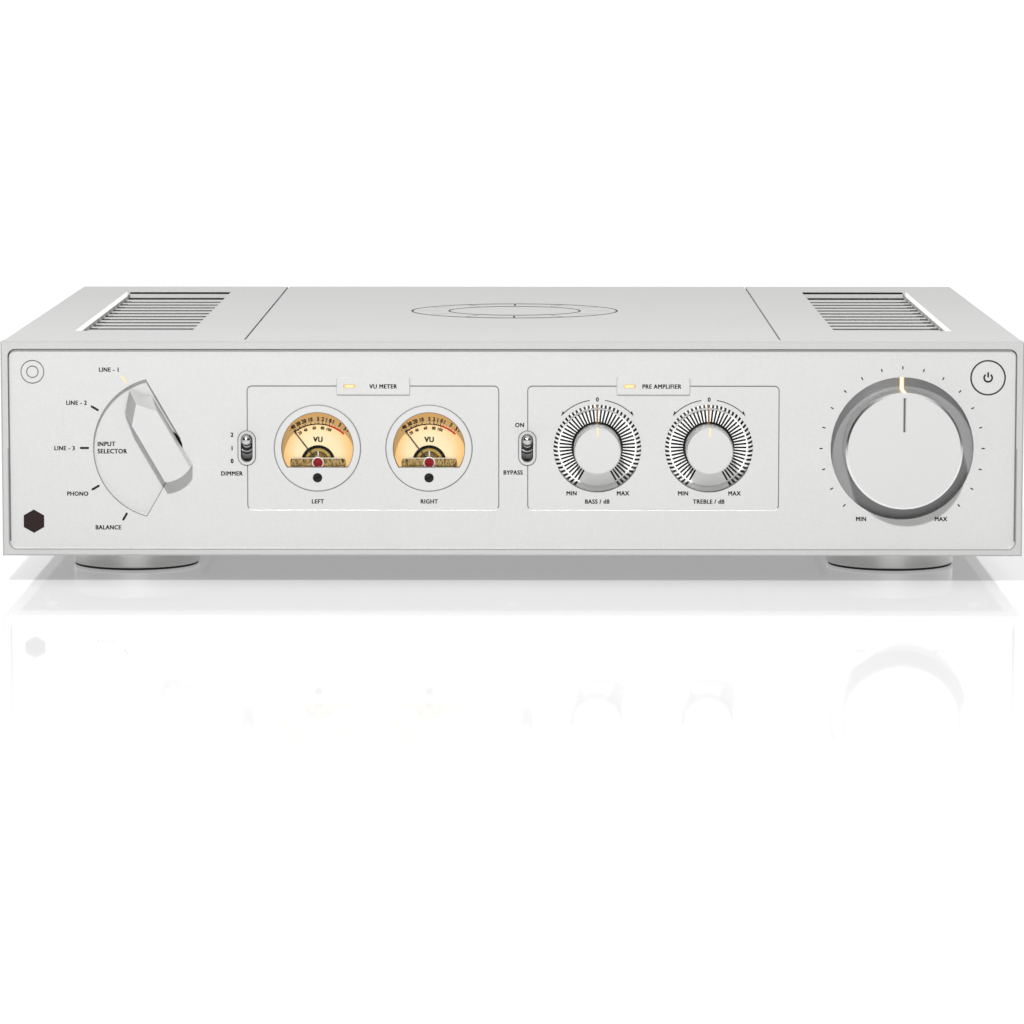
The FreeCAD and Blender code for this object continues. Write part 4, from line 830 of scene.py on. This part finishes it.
def arc_band(mesh, centre, r0, r1, a0, a1, y0, y1, steps=48):
    """Closed arc-shaped strip between two clockwise angles."""
    turns = [a0 + (a1 - a0) * i / steps for i in range(steps + 1)]
    swept(mesh, centre, turns, lambda i: oblong(r0, r1, y0, y1))


def lathe(mesh, centre, profile, steps=40):
    """Ring swept round the Y axis from a closed profile of (radius, y) points."""
    rows = []
    for i in range(steps):
        a = 2 * math.pi * i / steps
        rows.append([mesh.verts.new((centre.x + r * math.sin(a), y, centre.z + r * math.cos(a)))
                     for r, y in profile])
    for i in range(steps):
        span(mesh, rows[i], rows[(i + 1) % steps])


def capsule(mesh, centre, radius, degrees, length, width, y0, y1, steps=6):
    """Round-ended radial mark, centred at a radius from a point."""
    half = length / 2 - width / 2
    outline = []
    for end, start in ((half, -90), (-half, 90)):
        for i in range(steps + 1):
            a = math.radians(start + 180 * i / steps)
            outline.append((end + width / 2 * math.cos(a), width / 2 * math.sin(a)))
    angle = math.radians(degrees)
    points = []
    for u, v in outline:
        r = radius + u
        points.append((centre.x + r * math.sin(angle) + v * math.cos(angle),
                       centre.z + r * math.cos(angle) - v * math.sin(angle)))
    slab(mesh, points, y0, y1)


CAP_RATIO = 0.729        # height of a capital in the built-in font, for size 1


def words(mesh, text, x, z, y, height, align="CENTER", degrees=0.0, squeeze=0.92, bold=0.05):
    """Thin raised lettering facing the front, centred on its capitals' height; bold widens the strokes."""
    curve = bpy.data.curves.new("words", "FONT")
    curve.body = text
    curve.size = height / CAP_RATIO
    curve.align_x = align
    curve.space_character = 1.10
    curve.resolution_u = 3
    curve.extrude = INK_T / 2
    holder = bpy.data.objects.new("words", curve)
    data = bpy.data.meshes.new_from_object(holder)
    data.transform(Matrix.Translation((0, -height / 2, 0)))
    data.transform(Matrix.Diagonal((squeeze, 1, 1, 1)))
    turn = Matrix.Rotation(math.radians(degrees), 4, "Y")
    stand = Matrix.Rotation(math.radians(90), 4, "X")
    data.transform(Matrix.Translation((x, y - INK_T / 2, z)) @ turn @ stand)
    reach = bold * height
    for side, rise in ((-1, -0.5), (-1, 0.5), (1, -0.5), (1, 0.5)):
        copy = data.copy()
        copy.transform(Matrix.Translation((side * reach, 0, rise * reach)))
        mesh.from_mesh(copy)
        bpy.data.meshes.remove(copy)
    bpy.data.objects.remove(holder)
    bpy.data.curves.remove(curve)
    bpy.data.meshes.remove(data)


# ---- printed legends ----

LEGEND_H = 1.85 * MM

# Each input's name, with its place beside the selector's pivot and above the panel's middle, in mm.
INPUTS = (("LINE - 1", -22.9, 33.2), ("LINE - 2", -36.8, 19.2), ("LINE - 3", -42.0, 0.0),
          ("PHONO", -36.7, -19.3), ("BALANCE", -23.9, -33.6))


def panel_legends():
    """Black words and figures on the front panel, in mm beside a control and above the panel's middle."""
    mesh = bmesh.new()

    def say(text, control, offset, rise, y=FIELD_Y, height=LEGEND_H, **style):
        words(mesh, text, control.x + offset * MM, MID_Z + rise * MM, y, height, **style)

    for text, offset, rise in INPUTS:
        say(text, SELECTOR, offset, rise)
    for text, rise in (("INPUT", 1.64), ("SELECTOR", -1.45)):
        say(text, SELECTOR, -28.3, rise, SELECTOR_FLOOR, 1.95 * MM, align="LEFT")
    dimmer, bypass = TOGGLES
    for text, rise in (("2", 5.7), ("1", 0.0), ("0", -5.4)):
        say(text, dimmer, -6.2, rise, bold=0.065)
    say("DIMMER", dimmer, -6.4, -10.7)
    say("ON", bypass, -3.2, 9.9)
    say("BYPASS", bypass, -6.0, -10.2)
    for needle, text in zip(NEEDLES, ("LEFT", "RIGHT")):
        say(text, needle, 0.0, -22.5)
    for tone, text in zip(TONES, ("BASS / dB", "TREBLE / dB")):
        say(text, tone, 0.0, -22.5)
        say("MIN", tone, -10.8, -19.0)
        say("MAX", tone, 10.8, -19.0)
        say("0", tone, 0.0, 20.7)
    say("MIN", VOLUME, -17.0, -29.8)
    say("MAX", VOLUME, 16.6, -29.8)
    place(mesh, "panel_legends", "ink", "case", "black_plastic")


def tag_legends():
    """Words on the two label plates, beside their lamps."""
    mesh = bmesh.new()
    for lamp, text, offset in zip(LAMPS, ("VU METER", "PRE AMPLIFIER"), (14.15, 13.55)):
        words(mesh, text, lamp.x + offset * MM, TAG_Z, TAG_LOW.y, LEGEND_H)
    place(mesh, "tag_legends", "ink", "case", "black_plastic")


SELECTOR_MARK_R = 33.6 * MM
SELECTOR_MARK = 3.9 * MM


def panel_marks():
    """Selector marks, volume ticks and the arrows over the tone controls."""
    mesh = bmesh.new()
    y0, y1 = FIELD_Y - INK_T, FIELD_Y
    for degrees in (-60, -90, -120, -150):
        capsule(mesh, SELECTOR, SELECTOR_MARK_R, degrees, SELECTOR_MARK, 0.95 * MM, y0, y1)
    for i in range(19):
        capsule(mesh, VOLUME, 34.1 * MM, -135 + 15 * i, 1.45 * MM, 0.52 * MM, y0, y1)
    for tone in TONES:
        for side in (-1, 1):
            arc_band(mesh, tone, 20.32 * MM, 20.68 * MM, side * 9, side * 45.5, y0, y1, 24)
            tip = around(tone, 20.4 * MM, side * 48.5)
            outer = around(tone, 21.5 * MM, side * 42.5)
            inner = around(tone, 20.3 * MM, side * 43.0)
            slab(mesh, (tip, outer, inner), y0, y1)
    place(mesh, "panel_marks", "ink", "case", "black_plastic")
    mesh = bmesh.new()
    capsule(mesh, SELECTOR, SELECTOR_MARK_R, -30, SELECTOR_MARK, 0.85 * MM, FIELD_Y - 2 * INK_T, FIELD_Y)
    place(mesh, "line_mark_lamp", "mark", "case", "lamp_lens")


def power_symbol():
    """Stroke and broken circle on the power button."""
    mesh = bmesh.new()
    y0, y1 = BUTTON_LOW.y - INK_T, BUTTON_LOW.y
    arc_band(mesh, BUTTON, 1.30 * MM, 2.07 * MM, 38, 322, y0, y1, 40)
    capsule(mesh, BUTTON, 1.25 * MM, 0, 2.4 * MM, 0.74 * MM, y0, y1)
    place(mesh, "power_symbol", "ink", "power_key", "black_plastic")


def knob_marks():
    """Lit index lines set in the tone knobs' faces."""
    half = 0.34 * MM
    for tone, name in zip(TONES, ("bass", "treble")):
        low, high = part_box(name + "_knob")
        mesh = bmesh.new()
        for z0, z1, depth in ((3.4, 0.0, 0.39 * MM), (4.1, 3.4, 0.0)):
            left, right = tone.x - half, tone.x + half
            bottom, top = high.z - z0 * MM, high.z - z1 * MM
            outline = ((left, bottom), (right, bottom), (right, top), (left, top))
            slab(mesh, outline, low.y - 0.02 * MM, low.y + depth)
        place(mesh, name + "_knob_light", "mark", name + "_control", "lamp_lens")


# ---- meters ----

# Figures on the meter's face, with their clockwise angles from straight up.
UPPER_SCALE = (("40", -35.5), ("30", -27.2), ("20", -19.1), ("10", -10.5), ("5", 0.2), ("2", 6.4),
               ("1", 11.4), ("0", 16.6), ("1", 20.9), ("3", 30.1), ("5", 39.0))
LOWER_SCALE = (("20", -31.6), ("40", -21.2), ("60", -6.3), ("80", 7.6), ("100", 18.0))
RED_TICKS = (20.9, 25.5, 30.1, 34.5, 39.0)
RED_FROM = 16.7
SCALE_FROM = -37.0
SCALE_TO = 42.7
SCALE_R = 16.15 * MM
MINOR_TICKS = 9


def meter_scale(needle, side):
    """Printed arc, ticks and figures of one meter."""
    y0, y1 = DIAL_Y - INK_T, DIAL_Y

    def figure(text, radius, degrees, height, turn, **style):
        x, z = around(needle, radius, degrees)
        words(mesh, text, x, z, y1, height, degrees=turn, **style)

    def tick(rise, degrees, length, width):
        capsule(mesh, needle, SCALE_R + rise * MM, degrees, length * MM, width * MM, y0, y1)

    mesh = bmesh.new()
    arc_band(mesh, needle, SCALE_R - 0.26 * MM, SCALE_R + 0.26 * MM, SCALE_FROM, RED_FROM, y0, y1)
    for text, degrees in UPPER_SCALE:
        figure(text, 18.35 * MM, degrees, 1.7 * MM, degrees, squeeze=0.80, bold=0.085)
        if degrees < RED_FROM:
            tick(0.55, degrees, 1.0, 0.32)
    for i in range(MINOR_TICKS):
        tick(0.4, SCALE_FROM + (RED_FROM - SCALE_FROM) * (i + 0.5) / MINOR_TICKS, 0.6, 0.2)
    for text, degrees in LOWER_SCALE:
        figure(text, 14.6 * MM, degrees, 1.3 * MM, degrees, squeeze=0.8, bold=0.08)
        tick(-0.4, degrees, 0.7, 0.2)
    words(mesh, "VU", needle.x, needle.z + 9.7 * MM, y1, 2.3 * MM, bold=0.07)
    figure("-", 18.1 * MM, -41.0, 1.25 * MM, -41)
    place(mesh, "meter_scale_" + side, "dial_ink", "case", "black_plastic")
    mesh = bmesh.new()
    arc_band(mesh, needle, SCALE_R - 0.38 * MM, SCALE_R + 0.38 * MM, RED_FROM, SCALE_TO, y0, y1)
    for degrees in RED_TICKS:
        tick(0.65, degrees, 0.8, 0.18)
    figure("+", 18.1 * MM, 43.2, 1.25 * MM, 43)
    place(mesh, "meter_red_" + side, "dial_red", "case", "red_jewel")


def bearing_collar(needle, side):
    """Pale collar round the bearing cap."""
    mesh = bmesh.new()
    front = FIELD_Y + 3.1 * MM
    back = FIELD_Y + 3.5 * MM
    lathe(mesh, needle, ((2.02 * MM, back), (2.02 * MM, front), (2.2 * MM, front - 0.1 * MM),
                         (2.4 * MM, front - 0.02 * MM), (2.55 * MM, front + 0.15 * MM), (2.55 * MM, back)))
    place(mesh, "bearing_collar_" + side, "collar", "case", "anodised_knob")


def hairspring(needle, side):
    """Flat spiral spring over the movement."""
    mesh = bmesh.new()
    coils = 3.5
    steps = 150
    turns = [360 * coils * i / steps for i in range(steps + 1)]
    half_t = 0.07 * MM
    y0 = MOVEMENT_Y - 0.45 * MM
    y1 = y0 + 0.3 * MM

    def section(i):
        r = 1.5 * MM + 2.6 * MM * i / steps
        return oblong(r - half_t, r + half_t, y0, y1)

    swept(mesh, needle, turns, section)
    place(mesh, "hairspring_" + side, "gold", "case", "brass")


def balance_mark(needle, side):
    """Pale index over the movement."""
    mesh = bmesh.new()
    capsule(mesh, needle, 3.6 * MM, 0, 2.3 * MM, 0.55 * MM, MOVEMENT_Y - 0.75 * MM, MOVEMENT_Y - 0.5 * MM)
    place(mesh, "balance_mark_" + side, "collar", "case", "anodised_knob")


# ---- toggle switches ----

SHIELD_HALF_W = 2.15 * MM
SHIELD_R = (5.4 * MM, 5.15 * MM)
SHIELD_FROM = -97
SHIELD_SWEEP = 172


def toggle_shield(toggle, body):
    """Curved plate that turns with a lever behind its slot."""
    mesh = bmesh.new()
    steps = 40
    rows = []
    for i in range(steps + 1):
        turn = LEVER_TILT + math.radians(SHIELD_FROM + SHIELD_SWEEP * i / steps)
        row = []
        for radius in SHIELD_R:
            y = toggle.y - radius * math.cos(turn)
            z = toggle.z + radius * math.sin(turn)
            row += [mesh.verts.new((toggle.x + side * SHIELD_HALF_W, y, z)) for side in (-1, 1)]
        rows.append((row[0], row[1], row[3], row[2]))
    strip(mesh, rows)
    place(mesh, body + "_shield", "shield", body, "zinc_steel")


def toggle_collar(toggle, body):
    """Bright collar round a lever's neck."""
    mesh = bmesh.new()
    radius, out, thick = 1.75, -5.75, 0.28
    corners = 10
    ring = []
    for i in range(corners):
        a = 2 * math.pi * i / corners
        ring.append(((radius + thick * math.cos(a)) * MM, (out + thick * math.sin(a)) * MM))
    lathe(mesh, Vector((0, 0, 0)), ring, 28)
    turn = Matrix.Rotation(-LEVER_TILT, 4, "X")
    bmesh.ops.transform(mesh, matrix=Matrix.Translation(toggle) @ turn, verts=mesh.verts)
    place(mesh, body + "_collar", "chrome", body, "polished_metal")


# ---- stage ----

FLOOR_HALF = 6.0
FLOOR_BACK = 14.0
FLOOR_T = 0.02
KEY_DISTANCE = 2.3
LENS = 160.63
EYE = Vector((12.3 * MM, FIELD_Y - 1.9147, 253.5 * MM))
AIM = Vector((-0.00644, 1.0, -0.11622))


def white_floor():
    """Plain pale floor that glows a little, so that the shadow stays soft."""
    mesh = bmesh.new()
    outline = ((-FLOOR_HALF, -FLOOR_T), (FLOOR_HALF, -FLOOR_T), (FLOOR_HALF, 0.0), (-FLOOR_HALF, 0.0))
    slab(mesh, outline, -FLOOR_HALF, FLOOR_BACK)
    shader = Shader("floor_white", Roughness=0.04, Specular_IOR_Level=0.06)
    speck = shader.noise(0.4, 2.0)
    shader.set("Base Color", shader.shade(grey(0.50), shader.spread(speck, 0.995, 1.005)))
    shader.set("Emission Color", grey(1.0))
    shader.set("Emission Strength", 0.34)
    solid(mesh, "floor", shader.material)


def surround():
    """Light from the back, the top and the camera's side, weaker at the sides; the camera sees white."""
    world = bpy.data.worlds.new("studio")
    bpy.context.scene.world = world
    world.use_nodes = True
    tree = world.node_tree
    direction = tree.nodes.new("ShaderNodeTexCoord").outputs["Generated"]
    split = tree.nodes.new("ShaderNodeSeparateXYZ")
    tree.links.new(direction, split.inputs[0])

    def blend(source, start, end, low, high):
        """Low up to the start, high from the end, and smooth between."""
        node = tree.nodes.new("ShaderNodeMapRange")
        node.interpolation_type = "SMOOTHSTEP"
        tree.links.new(source, node.inputs["Value"])
        for name, value in (("From Min", start), ("From Max", end), ("To Min", low), ("To Max", high)):
            node.inputs[name].default_value = value
        return node.outputs["Result"]

    def combine(operation, *values):
        """The result of a math node."""
        node = tree.nodes.new("ShaderNodeMath")
        node.operation = operation
        for i, value in enumerate(values):
            if isinstance(value, float):
                node.inputs[i].default_value = value
            else:
                tree.links.new(value, node.inputs[i])
        return node.outputs[0]

    behind = blend(split.outputs[1], -0.1, 0.3, 0.12, 1.05)
    facing = blend(split.outputs[1], -0.97, -0.85, 0.60, 0.0)
    above = blend(split.outputs[2], 0.3, 0.8, 0.0, 0.80)
    sideways = combine("MULTIPLY", blend(split.outputs[0], -0.75, -0.15, 0.15, 1.0),
                       blend(split.outputs[0], 0.35, 0.85, 1.0, 0.3))
    strength = combine("MULTIPLY", combine("MAXIMUM", behind, combine("MAXIMUM", above, facing)), sideways)
    seen = tree.nodes.new("ShaderNodeLightPath").outputs["Is Camera Ray"]
    strength = combine("MAXIMUM", strength, combine("MULTIPLY", seen, 1.05))
    background = tree.nodes["Background"]
    background.inputs["Color"].default_value = (1, 1, 1, 1)
    tree.links.new(strength, background.inputs["Strength"])


def key_light():
    """One key light in front, above the camera and a little to the left."""
    light = bpy.data.lights.new("key", "AREA")
    light.shape = "DISK"
    light.size = 0.12
    light.energy = 65.0
    key = bpy.data.objects.new("key", light)
    bpy.context.scene.collection.objects.link(key)
    towards = Vector((-0.12, -1.0, 0.75)).normalized()
    key.location = Vector((0, FIELD_Y, MID_Z)) + towards * KEY_DISTANCE
    key.rotation_euler = towards.to_track_quat("Z", "Y").to_euler()


def camera():
    """Long lens, a little above the case and just right of its middle."""
    data = bpy.data.cameras.new("camera")
    data.sensor_width = 36.0
    data.lens = LENS
    data.clip_end = 50.0
    view = bpy.data.objects.new("camera", data)
    bpy.context.scene.collection.objects.link(view)
    view.location = EYE
    view.rotation_euler = AIM.to_track_quat("-Z", "Y").to_euler()
    bpy.context.scene.camera = view


camera()
white_floor()
surround()
key_light()
dress_nodes()
panel_legends()
tag_legends()
panel_marks()
power_symbol()
knob_marks()
for needle, side in zip(NEEDLES, ("left", "right")):
    meter_scale(needle, side)
    bearing_collar(needle, side)
    hairspring(needle, side)
    balance_mark(needle, side)
for toggle, body in zip(TOGGLES, ("dimmer_switch", "bypass_switch")):
    toggle_shield(toggle, body)
    toggle_collar(toggle, body)

bpy.context.scene.view_settings.view_transform = "Standard"
bpy.context.scene.view_settings.look = "None"
